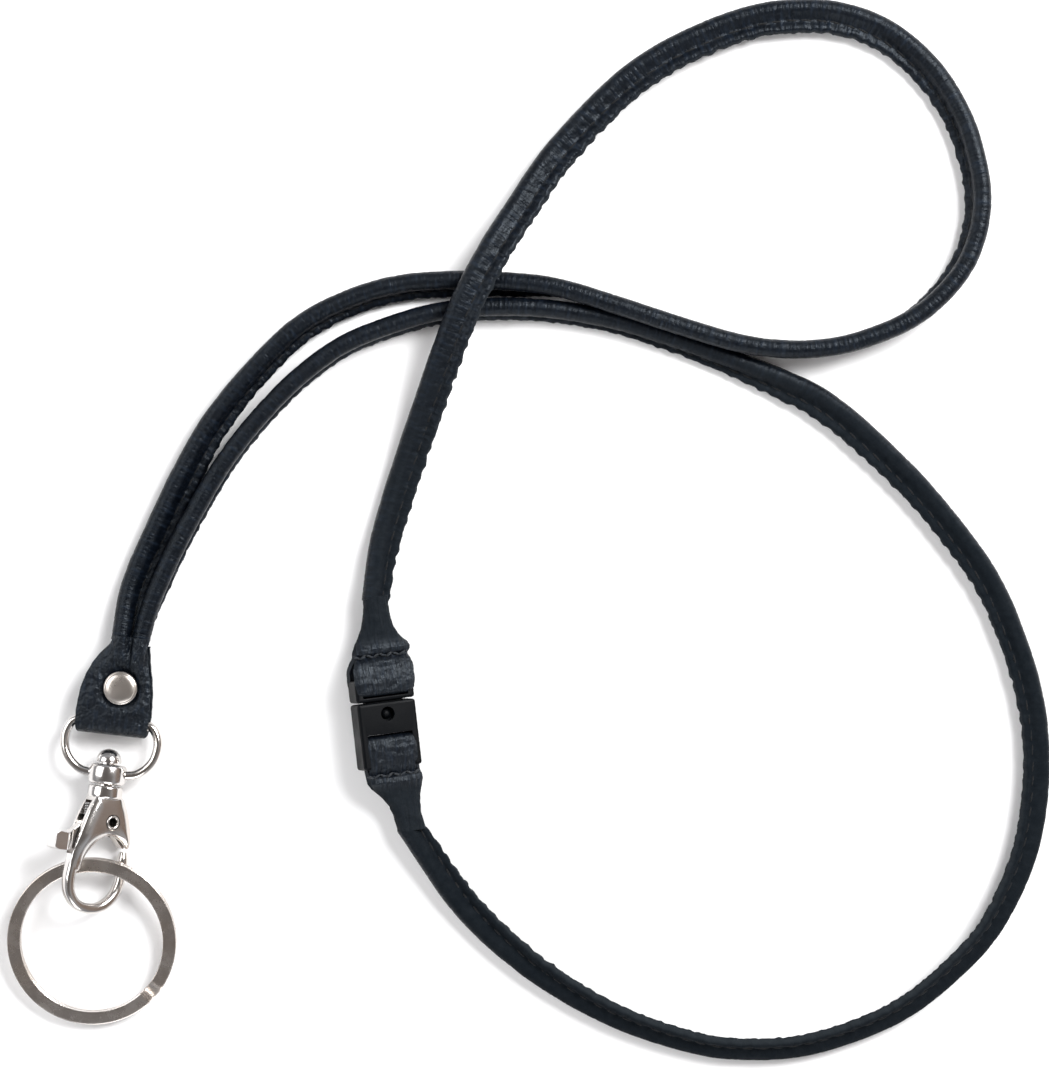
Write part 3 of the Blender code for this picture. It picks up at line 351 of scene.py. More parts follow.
# %% Twisted thread and cord
def twisted_finish(name, dark, light, turns, roughness):
    material = new_finish(
        name, dark, roughness, Sheen_Weight=0.06, Sheen_Roughness=0.5, Specular_IOR_Level=0.3
    )
    point = object_point(material)
    slant = add_node(material, "Mapping", {"Vector": point, "Rotation": (0.5, 0.6, 0.9)})
    wave = {"Vector": slant.outputs["Vector"], "Scale": turns, "Distortion": 1.5}
    plies = add_node(material, "TexWave", wave).outputs["Fac"]
    fibres = cloud(material, point, 12000.0, 3.0)
    feed(material, mixed(material, plies, dark, light), "Base Color")
    relief(material, [(fibres, 0.01 * MM), (plies, 0.06 * MM)])
    return material


thread_finish = twisted_finish(
    "waxed_thread", (0.0008, 0.0012, 0.002), (0.0035, 0.0045, 0.006), 900.0, 0.7
)
ridge_thread_finish = twisted_finish(
    "ridge_thread", (0.004, 0.0055, 0.008), (0.018, 0.023, 0.030), 900.0, 0.5
)
cord_finish = twisted_finish("filler_cord", (0.015, 0.015, 0.015), (0.05, 0.05, 0.05), 500.0, 0.85)
print("twisted finishes:", thread_finish.name, cord_finish.name)


# %% Plated metal
WARM_TINT = (0.93, 0.88, 0.83)


def plated_finish(name, colour, roughness, spread, scratch_depth):
    """Nickel plate: the roughness wanders by the spread, and hair scratches run at a slant."""
    material = new_finish(name, colour, roughness, 1.0)
    point = object_point(material)
    handled = cloud(material, point, 260.0, 4.0, 0.65)
    wander = between(material, handled, 0.3, 0.75, roughness - spread, roughness + spread)
    feed(material, wander, "Roughness")
    warm = tuple(value * factor for value, factor in zip(colour, WARM_TINT))
    patches = between(material, cloud(material, point, 120.0), 0.35, 0.7)
    feed(material, mixed(material, patches, colour, warm), "Base Color")
    stretched = add_node(
        material, "Mapping", {"Vector": point, "Rotation": (0.2, 0.4, 0.7), "Scale": (6.0, 0.35, 1.0)}
    )
    scratches = cloud(material, stretched.outputs["Vector"], 3800.0, 2.0, 0.8)
    relief(material, [(scratches, scratch_depth)])
    return material


bright_nickel = plated_finish("bright_nickel", (0.68, 0.665, 0.655), 0.17, 0.05, 0.0012 * MM)
satin_nickel = plated_finish("satin_nickel", (0.62, 0.59, 0.56), 0.30, 0.05, 0.004 * MM)
ring_nickel = plated_finish("dark_satin_nickel", (0.62, 0.585, 0.56), 0.27, 0.05, 0.004 * MM)
spring_wire = plated_finish("spring_wire", (0.45, 0.45, 0.46), 0.30, 0.05, 0.002 * MM)
# Painted shade: a dark, rough grey for the inside of the pin's bore, so that the hole reads dark.
bore_painted_shade_finish = plated_finish("bore_painted_shade", (0.05, 0.045, 0.04), 0.6, 0.1, 0.002 * MM)
print("plated finishes:", bright_nickel.name, satin_nickel.name, ring_nickel.name)

# %% Moulded plastic
PLASTIC_DARK = (0.0012, 0.0016, 0.0023)
PLASTIC_LIGHT = (0.0024, 0.0031, 0.0042)
plastic_finish = new_finish(
    "black_moulded_plastic", (0.0015, 0.002, 0.0028), 0.42, Specular_IOR_Level=0.09
)
plastic_point = object_point(plastic_finish)
sparks = cloud(plastic_finish, plastic_point, 7000.0, 2.0, 0.6)
handling = cloud(plastic_finish, plastic_point, 240.0, 4.0)
feed(plastic_finish, between(plastic_finish, handling, 0.3, 0.7, 0.36, 0.5), "Roughness")
speckle = between(plastic_finish, sparks, 0.3, 0.7)
feed(plastic_finish, mixed(plastic_finish, speckle, PLASTIC_DARK, PLASTIC_LIGHT), "Base Color")
relief(plastic_finish, [(sparks, 0.012 * MM), (handling, 0.02 * MM)])
print("plastic finish:", plastic_finish.name)

# %% [markdown]
# ## Making meshes
# Most pieces here are a surface wrapped along a line: a strap, a wire, a folded sheet. Blender's
# grid operator makes all the faces at once, and then each of its points is moved to its place on
# the piece. Where a section closes on itself, the grid's two edges meet and are merged.


# %% Grid helpers
MERGE = 0.0005 * MM


def in_mm(points):
    """Flat points given in mm, as places in metres."""
    return [(first * MM, second * MM, 0) for first, second in points]


def blank_sheet(rows, columns):
    """Room for a grid's places, and for the layers that the leather reads."""
    painted = {name: np.zeros((rows, columns)) for name in PAINTED_LAYERS}
    return np.zeros((rows, columns, 3)), painted


def tube_skin(route, across, top, radius, sides):
    """Points round a line: a ring of one radius at each of its places."""
    turns = np.linspace(0, 2 * pi, sides + 1)[None, :, None]
    return route[:, None] + radius * (np.cos(turns) * across[:, None] + np.sin(turns) * top[:, None])


def laid_grid(shape, points, painted=None):
    """Lays a grid over an array of points (row, column, xyz), and paints float layers on it."""
    rows, columns = points.shape[:2]
    for name in painted or {}:
        shape.verts.layers.float.get(name) or shape.verts.layers.float.new(name)
    shape.verts.layers.int.get("row") or shape.verts.layers.int.new("row")
    layers = {name: shape.verts.layers.float[name] for name in painted or {}}
    row_layer = shape.verts.layers.int["row"]
    grid = bmesh.ops.create_grid(shape, x_segments=rows - 1, y_segments=columns - 1, size=0.5)
    for vert in grid["verts"]:
        row = round((vert.co.x + 0.5) * (rows - 1))
        column = round((vert.co.y + 0.5) * (columns - 1))
        for name, layer in layers.items():
            vert[layer] = painted[name][row, column]
        vert[row_layer] = 1 if row == 0 else 2 if row == rows - 1 else 0
        vert.co = points[row, column]
    return grid["verts"]


def piece_from(name, shape, finish, sharp=60):
    """A bmesh made a piece: doubles merged, faces turned outwards, shaded smooth."""
    bmesh.ops.remove_doubles(shape, verts=shape.verts, dist=MERGE)
    bmesh.ops.recalc_face_normals(shape, faces=shape.faces)
    mesh = bpy.data.meshes.new(name)
    shape.to_mesh(mesh)
    shape.free()
    mesh.shade_smooth()
    mesh.set_sharp_from_angle(angle=radians(sharp))
    mesh.materials.append(finish)
    made = bpy.data.objects.new(name, mesh)
    bpy.context.collection.objects.link(made)
    return made


def settled(piece, sharp=60):
    """Turns a piece's modifiers into plain mesh."""
    bpy.context.view_layer.update()
    seen = piece.evaluated_get(bpy.context.evaluated_depsgraph_get())
    piece.data = bpy.data.meshes.new_from_object(seen)
    piece.data.name = piece.name
    piece.modifiers.clear()
    piece.data.shade_smooth()
    piece.data.set_sharp_from_angle(angle=radians(sharp))
    return piece


def filled_ends(shape):
    """Closes each open end of a tube with one face."""
    bmesh.ops.remove_doubles(shape, verts=shape.verts, dist=MERGE)
    rims = [edge for edge in shape.edges if edge.is_boundary]
    bmesh.ops.edgeloop_fill(shape, edges=rims)


def worked(target, tool, operation):
    """A Boolean that is applied at once. The tool is used up."""
    change = target.modifiers.new(operation.lower(), "BOOLEAN")
    change.operation = operation
    change.object = tool
    change.solver = "EXACT"
    settled(target)
    bpy.data.objects.remove(tool, do_unlink=True)
    return target


def walled(sheet, thickness, middle, up):
    """Turns a folded sheet's faces outwards, judged above its middle, and thickens it inwards."""
    facing = sum(face.normal.dot(up) * face.area for face in sheet.data.polygons
                 if (face.center - middle).dot(up) > 0)
    if facing < 0:
        sheet.data.flip_normals()
    wall = sheet.modifiers.new("wall", "SOLIDIFY")
    wall.thickness = thickness
    wall.offset = -1
    return settled(sheet)


def gathered(target, *parts):
    """Puts other pieces' meshes into the target's, and uses them up."""
    shape = bmesh.new()
    for part in (target, *parts):
        shape.from_mesh(part.data)
    shape.to_mesh(target.data)
    shape.free()
    for part in parts:
        bpy.data.objects.remove(part, do_unlink=True)
    return target


def cast(piece, voxel, rounds):
    """Melts a piece's parts into one skin with soft edges, as a casting has."""
    skin = piece.modifiers.new("skin", "REMESH")
    skin.mode = "VOXEL"
    skin.voxel_size = voxel
    soft = piece.modifiers.new("soft", "SMOOTH")
    soft.factor = 0.5
    soft.iterations = rounds
    return settled(piece, 80)


def stitch(shape, size, matrix):
    """One stitch: a stretched bead of thread, carried into place."""
    made = bmesh.ops.create_uvsphere(shape, u_segments=8, v_segments=6, radius=1)
    bmesh.ops.transform(shape, matrix=matrix @ Matrix.Diagonal((*size, 1)), verts=made["verts"])


def placed(piece, body=None, node=None):
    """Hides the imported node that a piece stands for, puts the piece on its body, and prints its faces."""
    if node:
        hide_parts(node)
    if body:
        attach(piece, body)
    print(f"{piece.name}: {len(piece.data.polygons)} faces")
    return piece


def smooth_route(points, spacing):
    """A Catmull-Rom curve: its places, their knot numbers and their distances along it."""
    known = [Vector(point) for point in points]
    known = [2 * known[0] - known[1], *known, 2 * known[-1] - known[-2]]
    fine = []
    for a, b, c, d in zip(known, known[1:], known[2:], known[3:]):
        for t in np.linspace(0, 1, 24, endpoint=False):
            fine.append(
                0.5 * (2 * b + (c - a) * t + (2 * a - 5 * b + 4 * c - d) * t**2
                       + (3 * b - a - 3 * c + d) * t**3)
            )
    fine.append(known[-2])
    fine = np.array(fine)
    along = np.concatenate([[0], np.cumsum(np.linalg.norm(np.diff(fine, axis=0), axis=1))])
    steps = max(2, round(along[-1] / spacing)) + 1
    wanted = np.linspace(0, along[-1], steps)
    knots = np.interp(wanted, along, np.arange(len(fine)) / 24)
    return np.column_stack([np.interp(wanted, along, fine[:, k]) for k in range(3)]), knots, wanted


def closed_outline(points, spacing):
    """A smooth closed outline through flat points in mm."""
    return smooth_route(in_mm([*points, points[0]]), spacing)[0][:-1]


def directions(route, closed=False):
    """The unit tangent at each place on a route."""
    if closed:
        ways = np.roll(route, -1, axis=0) - np.roll(route, 1, axis=0)
    else:
        ways = np.gradient(route, axis=0)
    return ways / np.linalg.norm(ways, axis=1)[:, None]


print("mesh helpers ready")

# %% [markdown]
# ## The rolled straps
# A strip of leather is folded round a filler cord and stitched beside it, so the strap is a round
# bead with a flat flange: 3.5 mm of bead and 3 mm of flange. It could be a curve with a bevel
# profile, but the flange leans over by a different amount all the way along, crinkles, and is
# scalloped by the stitches, so each station of a grid gets its own section. The routes are the
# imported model's own. The lists give the lean in degrees, the flange's width and the nap at some
# of the route's points; the lean is measured from the right hand of the way along the strap.

# %% Strap routes
UPPER_ROUTE = [
    (-0.0004, 0.0089, 0.0035), (0.0013, 0.0190, 0.0025), (0.0056, 0.0294, 0.0024),
    (0.0110, 0.0407, 0.0025), (0.0163, 0.0500, 0.0026), (0.0239, 0.0595, 0.0028),
    (0.0332, 0.0685, 0.0029), (0.0426, 0.0736, 0.0029), (0.0527, 0.0765, 0.0032),
    (0.0638, 0.0772, 0.0038), (0.0740, 0.0768, 0.0044), (0.0828, 0.0756, 0.0050),
    (0.0940, 0.0722, 0.0053), (0.1050, 0.0686, 0.0053), (0.1161, 0.0653, 0.0053),
    (0.1240, 0.0641, 0.0053), (0.1315, 0.0641, 0.0053), (0.1391, 0.0655, 0.0053),
    (0.1482, 0.0691, 0.0052), (0.1547, 0.0739, 0.0050), (0.1596, 0.0800, 0.0047),
    (0.1622, 0.0870, 0.0044), (0.1628, 0.0938, 0.0042), (0.1615, 0.1015, 0.0038),
    (0.1588, 0.1094, 0.0032), (0.1535, 0.1178, 0.0024), (0.1456, 0.1247, 0.0020),
    (0.1369, 0.1282, 0.0019), (0.1280, 0.1289, 0.0019), (0.1191, 0.1277, 0.0019),
    (0.1090, 0.1240, 0.0019), (0.0993, 0.1188, 0.0019), (0.0910, 0.1120, 0.0020),
    (0.0810, 0.1010, 0.0029), (0.0745, 0.0913, 0.0050), (0.0692, 0.0829, 0.0072),
    (0.0642, 0.0733, 0.0079), (0.0606, 0.0643, 0.0069),
]
UPPER_END_ROUTE = [
    (0.0606, 0.0643, 0.0069), (0.0566, 0.0530, 0.0044), (0.0537, 0.0447, 0.0029),
    (0.0506, 0.0350, 0.0023), (0.0483, 0.0260, 0.0031),
]
LOWER_ROUTE = [
    (0.0034, 0.0085, 0.0035), (0.0047, 0.0135, 0.0036), (0.0065, 0.0184, 0.0038),
    (0.0108, 0.0277, 0.0040), (0.0170, 0.0390, 0.0041), (0.0218, 0.0461, 0.0041),
    (0.0275, 0.0529, 0.0041), (0.0344, 0.0596, 0.0041), (0.0430, 0.0655, 0.0041),
    (0.0544, 0.0698, 0.0039), (0.0626, 0.0716, 0.0037), (0.0702, 0.0721, 0.0034),
    (0.0785, 0.0720, 0.0031), (0.0860, 0.0711, 0.0028), (0.0940, 0.0695, 0.0026),
    (0.1014, 0.0673, 0.0025), (0.1096, 0.0645, 0.0024), (0.1178, 0.0615, 0.0022),
    (0.1260, 0.0583, 0.0020), (0.1330, 0.0548, 0.0019), (0.1410, 0.0484, 0.0019),
    (0.1528, 0.0366, 0.0019), (0.1641, 0.0217, 0.0019), (0.1700, 0.0085, 0.0019),
    (0.1734, -0.0040, 0.0019), (0.1742, -0.0165, 0.0019), (0.1725, -0.0292, 0.0019),
    (0.1687, -0.0394, 0.0019), (0.1635, -0.0479, 0.0019), (0.1555, -0.0559, 0.0019),
    (0.1474, -0.0618, 0.0019), (0.1380, -0.0659, 0.0019), (0.1284, -0.0685, 0.0019),
    (0.1191, -0.0691, 0.0019), (0.1098, -0.0682, 0.0019), (0.0970, -0.0644, 0.0019),
    (0.0861, -0.0593, 0.0019), (0.0750, -0.0520, 0.0019), (0.0640, -0.0416, 0.0022),
]
UPPER_LEAN = [  # knot, lean, flange in mm, nap
    (0, -15, 1.6, 0.0), (1, -19, 2.3, 0.0), (2, -21, 2.7, 0.0), (3, -23, 2.7, 0.0), (4, -27, 2.4, 0.0),
    (5, -32, 2.2, 0.0), (7, -36, 2.1, 0.0), (8, -40, 2.2, 0.0), (9, -48, 2.4, 0.0), (10, -60, 2.6, 0.0),
    (11, -80, 2.8, 0.0), (12, -97, 2.8, 0.0), (14, -98, 2.8, 0.0), (16, -93, 2.8, 0.0),
    (18, -102, 2.6, 0.0), (19, -114, 2.4, 0.0), (20, -124, 2.3, 0.0), (22, -133, 2.3, 0.1),
    (23, -139, 2.3, 0.1), (24, -148, 2.4, 0.1), (25, -160, 2.6, 0.0), (26, -172, 2.7, 0.0),
    (27, -182, 2.9, 0.0), (28, -188, 3.0, 0.0), (30, -192, 2.9, 0.0), (35, -195, 2.9, 0.0),
    (37, -192, 2.8, 0.1), (38, -190, 2.7, 0.4), (39, -186, 2.6, 0.6), (40, -178, 2.5, 0.7),
    (41, -168, 2.3, 0.8), (42, -160, 1.9, 0.8),
]
LOWER_LEAN = [
    (0, -80, 0.6, 0.0), (1, -74, 1.6, 0.0), (2, -70, 2.1, 0.0), (4, -68, 2.2, 0.0),
    (8, -66, 2.2, 0.0), (10, -60, 2.0, 0.0), (12, -55, 1.8, 0.1), (14, -48, 1.4, 0.3),
    (16, -36, 1.5, 0.5), (17, -26, 1.9, 0.6), (18, -14, 2.4, 0.7), (19, -4, 2.5, 0.8),
    (20, 3, 2.3, 0.9), (21, 7, 2.2, 1.0), (22, 10, 2.1, 1.0), (23, 12, 2.0, 1.0),
    (24, 16, 2.0, 1.0), (25, 25, 2.1, 1.0), (26, 35, 2.3, 1.0), (28, 50, 2.5, 1.0),
    (31, 56, 2.5, 1.0), (34, 56, 2.4, 1.0), (35, 52, 2.4, 1.0), (36, 46, 2.5, 1.0),
    (37, 35, 2.5, 1.0), (38, 15, 2.3, 1.0), (39, -20, 1.8, 0.9),
]
UPPER_TIP = buckle_frame @ Vector((0.0, 19.0 * MM, 0.0))
LOWER_TIP = buckle_frame @ Vector((1.6 * MM, -24.1 * MM, 0.0))
print("knots:", len(UPPER_ROUTE), len(UPPER_END_ROUTE), len(LOWER_ROUTE))

# %% The strap's section
BEAD_RADIUS = 1.75 * MM
CORE_HOLE = 1.0 * MM
FLANGE_START = 1.15 * MM
FLANGE_FULL = 3.0 * MM
FLANGE_HALF = [  # distance from the bead's middle and half the thickness, in mm
    (1.55, 1.03), (1.95, 0.80), (2.35, 0.62), (2.75, 0.58), (3.15, 0.74), (3.6, 0.87),
    (4.05, 0.89), (4.4, 0.80), (4.62, 0.56), (4.75, 0.22),
]
STITCH_PITCH = 3.0 * MM
TABLE_GAP = 0.02 * MM
STITCH_LINE = 2.5 * MM
bead_turns = np.radians(np.arange(180, 45, -10))
bead_side = [(BEAD_RADIUS * cos(turn), BEAD_RADIUS * sin(turn)) for turn in bead_turns]
flange_side = [(out * MM, half * MM) for out, half in FLANGE_HALF]
near_side = np.array(bead_side + flange_side)
far_side = near_side[:0:-1] * (1, -1)
section = np.vstack([near_side, far_side])
section = np.vstack([section, section[:1]])
around = np.roll(section[:-1], -1, axis=0) - np.roll(section[:-1], 1, axis=0)
outward = np.column_stack([-around[:, 1], around[:, 0]])
outward = outward / np.linalg.norm(outward, axis=1)[:, None]
outward = np.vstack([outward, outward[:1]])
print("points round the section:", len(section) - 1)


# %% A strap from its route
STITCH_SIZE = (1.08 * MM, 0.20 * MM, 0.17 * MM)
STITCH_LIFT = 0.52 * MM


def lean_at(knots, lean_list):
    """The lean, the flange's width and the nap at each station."""
    table = np.array(lean_list, float)
    lean, flange, nap = (np.interp(knots, table[:, 0], table[:, k]) for k in (1, 2, 3))
    return np.radians(lean), flange * MM, nap


def strap_axes(route, lean):
    """Which way the flange points, and which way its face points, at each station."""
    ways = directions(route)
    right = np.cross(ways, np.array(UP))
    right = right / np.linalg.norm(right, axis=1)[:, None]
    top = np.cross(right, ways)
    flange_way = np.cos(lean)[:, None] * right + np.sin(lean)[:, None] * top
    face_way = -np.sin(lean)[:, None] * right + np.cos(lean)[:, None] * top
    return ways, flange_way, face_way


def crinkle(distance, out, side, seed):
    """How far the leather stands proud of the plain section, in metres."""
    if out < FLANGE_START:
        fold = noise.noise((distance * 1500, out * 420 + side * 3, seed))
        soft = noise.noise((distance * 330, out * 300, seed + 9))
        return (0.13 * min(0, fold + 0.05) + 0.05 * soft) * MM
    fold = noise.noise((distance * 1050, out * 700, seed + side * 5))
    fine = noise.noise((distance * 2300, out * 1500, seed + side * 7))
    pucker = cos(2 * pi * distance / STITCH_PITCH)
    near_stitch = max(0, 1 - abs(out - STITCH_LINE) / (0.8 * MM))
    return (0.20 * fold + 0.07 * fine - 0.09 * near_stitch * (1 - pucker)) * MM


def strap_grid(route, distance, lean, flange, nap, seed):
    """The places of the strap's skin, with the layers that its finish reads."""
    _, flange_way, face_way = strap_axes(route, lean)
    points, painted = blank_sheet(len(route), len(section))
    for row, here in enumerate(distance):
        scallop = 0.09 * cos(2 * pi * here / STITCH_PITCH) + 0.20 * noise.noise((here * 420, seed, 2.0))
        stretch = (flange[row] + scallop * MM) / FLANGE_FULL
        for column in range(len(section)):
            out, lift = section[column]
            side = 1 if column < len(near_side) else -1
            proud = crinkle(here, out, side, seed)
            wide = out if out < FLANGE_START else FLANGE_START + (out - FLANGE_START) * stretch
            wide += proud * outward[column][0]
            lift += proud * outward[column][1]
            points[row, column] = route[row] + wide * flange_way[row] + lift * face_way[row]
            points[row, column, 2] = max(points[row, column, 2], TABLE_GAP)
            painted["along_m"][row, column] = here
            painted["across_m"][row, column] = out + 0.001 * side
            bead_share = min(1, max(0, (out / MM + 1.3) / 1.0))
            painted["nap"][row, column] = nap[row] * bead_share
            painted["rim"][row, column] = max(0, out / MM - 4.45) * 3.0
    return points, painted


def core_hole_points(route):
    """The strap's inner wall, round the filler cord."""
    _, right, top = strap_axes(route, np.zeros(len(route)))
    return tube_skin(route, right, top, CORE_HOLE, 12)


def strap_stitches(name, route, distance, lean, flange):
    """One row of thread on each face: short stitches that dip into their holes."""
    ways, flange_way, face_way = strap_axes(route, lean)
    shape = bmesh.new()
    for number in range(int(distance[0] / STITCH_PITCH) + 1, int(distance[-1] / STITCH_PITCH) + 1):
        row = int(np.searchsorted(distance, number * STITCH_PITCH))
        if row < 3 or row > len(route) - 4:
            continue
        out = FLANGE_START + (STITCH_LINE - FLANGE_START) * flange[row] / FLANGE_FULL
        turn = Matrix((ways[row], flange_way[row], face_way[row])).transposed().to_4x4()
        for side in (1, -1):
            slant = Matrix.Rotation(radians(5 * side), 4, "Z")
            middle = route[row] + out * flange_way[row] + side * STITCH_LIFT * face_way[row]
            stitch(shape, STITCH_SIZE, Matrix.Translation(middle) @ turn @ slant)
    return piece_from(name, shape, thread_finish)


def make_strap(name, stitches, route, distance, lean, flange, nap, seed):
    """A stretch of strap and its stitches, with its path and its length."""
    points, painted = strap_grid(route, distance, lean, flange, nap, seed)
    shape = bmesh.new()
    laid_grid(shape, points, painted)
    coarse = np.unique(np.append(np.arange(0, len(route), 4), len(route) - 1))
    laid_grid(shape, core_hole_points(route)[coarse])
    bmesh.ops.remove_doubles(shape, verts=shape.verts, dist=MERGE)
    row_layer = shape.verts.layers.int["row"]
    for end in (1, 2):
        rims = [edge for edge in shape.edges
                if edge.is_boundary and all(vert[row_layer] == end for vert in edge.verts)]
        bmesh.ops.bridge_loops(shape, edges=rims)
    strap = piece_from(name, shape, strap_finish)
    thread = strap_stitches(stitches, route, distance, lean, flange)
    return strap, thread, route, distance[-1] - distance[0]


# %% Make the three stretches
STATION = 0.4 * MM
route, knots, distance = smooth_route([*LOWER_ROUTE, LOWER_TIP], STATION)
lower_stretch = make_strap(
    "strap_lower_rolled", "stitches_lower", route, distance, *lean_at(knots, LOWER_LEAN), 3.0
)
route, knots, distance = smooth_route([*UPPER_ROUTE, *UPPER_END_ROUTE[1:], UPPER_TIP], STATION)
cut = int(np.searchsorted(knots, len(UPPER_ROUTE) - 1))
upper_stations = (route, distance, *lean_at(knots, UPPER_LEAN))
upper_stretch = make_strap(
    "strap_upper_rolled", "stitches_upper", *(values[:cut + 1] for values in upper_stations), 11.0
)
end_stretch = make_strap(
    "strap_upper_end_rolled", "stitches_upper_end", *(values[cut:] for values in upper_stations), 11.0
)

# %% [markdown]
# The straps ride on the body that holds the tab. The last stretch above the buckle bends between
# that body and the plug, because the plug pulls out and the strap gives way. A stretch's width,
# bead and flange together, is 6.5 mm.

CORE_RADIUS = 0.85 * MM
for (strap, thread, _, _), node in ((lower_stretch, "strap_lower"), (upper_stretch, "strap_upper")):
    placed(strap, "strap", node)
    placed(thread, "strap")

core_route = smooth_route([*UPPER_END_ROUTE, UPPER_TIP], 1.2 * MM)[0]
core_ways = directions(core_route)
core_right = np.cross(core_ways, np.array(UP))
shape = bmesh.new()
laid_grid(shape, tube_skin(core_route, core_right, np.cross(core_right, core_ways), CORE_RADIUS, 16))
filled_ends(shape)
end_core = placed(
    piece_from("filler_cord_upper_end", shape, cord_finish), node="core_upper_end"
)
end_strap = placed(end_stretch[0], node="strap_upper_end")
end_thread = placed(end_stretch[1])
for piece in (end_strap, end_thread, end_core):
    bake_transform(piece, "strap", "plug", start=tuple(UPPER_END_ROUTE[1]), end=tuple(UPPER_TIP))

HIDDEN_NODES = {
    "core_lower": cord_finish, "core_upper": cord_finish,
    "strap_tongue_back": strap_finish, "strap_tongue_front": strap_finish,
}
for node, finish in HIDDEN_NODES.items():
    frame["nodes"][node].data.materials.clear()
    frame["nodes"][node].data.materials.append(finish)

# %% [markdown]
# ## The leather tab
# One strip of leather goes round the eye's bar and is riveted over the ends of the straps. It is
# a single sheet, so it is one grid: across the tab, and along a path that runs down the front,
# round the fold and up the back. Solidify then gives it its thickness inwards. The front sinks
# round the rivet, puckers below it, and is lifted by the two beads at its mouth.

# %% Tab plan and path
TAB_TOP = 8.2 * MM
TAB_MIDDLE = 3.5 * MM
TAB_HALF = 2.35 * MM
TAB_WALL = 1.15 * MM
BAR_BELOW = 6.8 * MM
TAB_LEFT = [  # up the tab, across it, in mm
    (10.0, -2.3), (8.6, -2.8), (7.2, -3.8), (4.8, -5.6), (1.8, -6.9), (-1.3, -7.7), (-5.2, -8.0),
    (-8.4, -7.8), (-9.2, -7.3),
]
TAB_RIGHT = [
    (10.0, 4.5), (8.6, 4.3), (7.2, 4.3), (4.8, 4.7), (1.8, 5.3), (-1.3, 5.75), (-5.2, 5.9),
    (-8.4, 5.7), (-9.2, 5.2),
]
left_edge, right_edge = (smooth_route(in_mm(edge), 0.2 * MM)[0][::-1] for edge in (TAB_LEFT, TAB_RIGHT))
fold_turn = np.linspace(pi / 2, 3 * pi / 2, 34)
TAB_LIP = 1.5 * MM
front_run = np.linspace(TAB_TOP + TAB_LIP, -BAR_BELOW, 66)
back_run = np.linspace(-BAR_BELOW, TAB_TOP, 30)
tab_path = (
    [(y, TAB_MIDDLE + TAB_HALF) for y in front_run[:-1]]
    + [(-BAR_BELOW + TAB_HALF * cos(turn), TAB_MIDDLE + TAB_HALF * sin(turn)) for turn in fold_turn]
    + [(y, TAB_MIDDLE - TAB_HALF) for y in back_run[1:]]
)
print("rows down the tab:", len(tab_path))


# %% Tab relief
def smooth_step(value, low, high):
    share = min(1, max(0, (value - low) / (high - low)))
    return share * share * (3 - 2 * share)


def tab_front(x, y):
    """How far the tab's front stands proud of flat, in metres, at a place in the tab's frame."""
    x, y = x / MM, y / MM
    reach = hypot(x, y)
    angle = np.arctan2(y, x)
    mouth = smooth_step(y, 2.6, 8.2)
    beads = 1.0 * np.exp(-((x + 0.9) / 1.7) ** 2) + 1.05 * np.exp(-((x - 2.7) / 1.6) ** 2)
    valley = -0.55 * np.exp(-((x - 0.95) / 0.45) ** 2)
    ridge = 0.75 * np.exp(-((x - 2.0) / 1.15) ** 2) * smooth_step(y, 1.5, 4.5) * (1 - 0.7 * mouth)
    dimple = -0.45 * np.exp(-((max(0, reach - 2.6)) / 1.1) ** 2)
    swell = 0.28 * np.exp(-((reach - 5.0) / 1.4) ** 2)
    pucker = noise.noise((angle * 5.5, reach * 0.45, 4.0))
    pucker *= smooth_step(reach, 3.2, 4.4) * smooth_step(-reach, -7.8, -5.8)
    drape = noise.noise((x * 0.75, y * 0.16, 8.0)) * smooth_step(y, -3.0, 5.0)
    cockle = noise.noise((x * 1.9, y * 1.4, 1.0))
    hem = smooth_step(-y, 6.6, 8.6)
    body = dimple + swell + 0.26 * pucker + 0.34 * drape + 0.14 * cockle
    return ((beads + valley) * mouth + ridge + body * (1 - hem)) * MM


def edge_at(edge, y):
    return np.interp(y, edge[:, 0], edge[:, 1])


# %% Build the tab
TAB_COLUMNS = 64
RIVET_HOLE = 1.5 * MM
tab_points, tab_paint = blank_sheet(len(tab_path), TAB_COLUMNS)
run = 0.0
for row, (y, z) in enumerate(tab_path):
    if row:
        run += hypot(y - tab_path[row - 1][0], z - tab_path[row - 1][1])
    for column in range(TAB_COLUMNS):
        share = column / (TAB_COLUMNS - 1)
        x = edge_at(left_edge, y) * (1 - share) + edge_at(right_edge, y) * share
        x += 0.10 * MM * noise.noise((y * 700, 5.0, 1.0)) * (2 * share - 1)
        front = smooth_step(z, TAB_MIDDLE, TAB_MIDDLE + TAB_HALF)
        roll_off = -0.35 * MM * abs(2 * share - 1) ** 8
        proud = (tab_front(x, y) + roll_off) * front
        tab_points[row, column] = tab_frame @ Vector((x, y, z + proud))
        tab_paint["along_m"][row, column] = run
        tab_paint["across_m"][row, column] = x
        tab_paint["rim"][row, column] = 0.5 * smooth_step(abs(2 * share - 1), 0.985, 1.0)
shape = bmesh.new()
laid_grid(shape, tab_points, tab_paint)
punched = [face for face in shape.faces if hypot(*face.calc_center_median().xy) < RIVET_HOLE]
bmesh.ops.delete(shape, geom=punched, context="FACES")
tab_sheet = piece_from("leather_tab_folded", shape, tab_finish)
walled(tab_sheet, TAB_WALL, Vector((0, 0, TAB_MIDDLE)), UP)
placed(tab_sheet, "strap", "leather_tab")


# %% [markdown]
# ## Turned pieces
# The rivet, the swivel's ball and the clasp's pin are turned: a profile is spun round an axis.
# The profile is a smooth curve through a few points, because polished metal shows every corner.

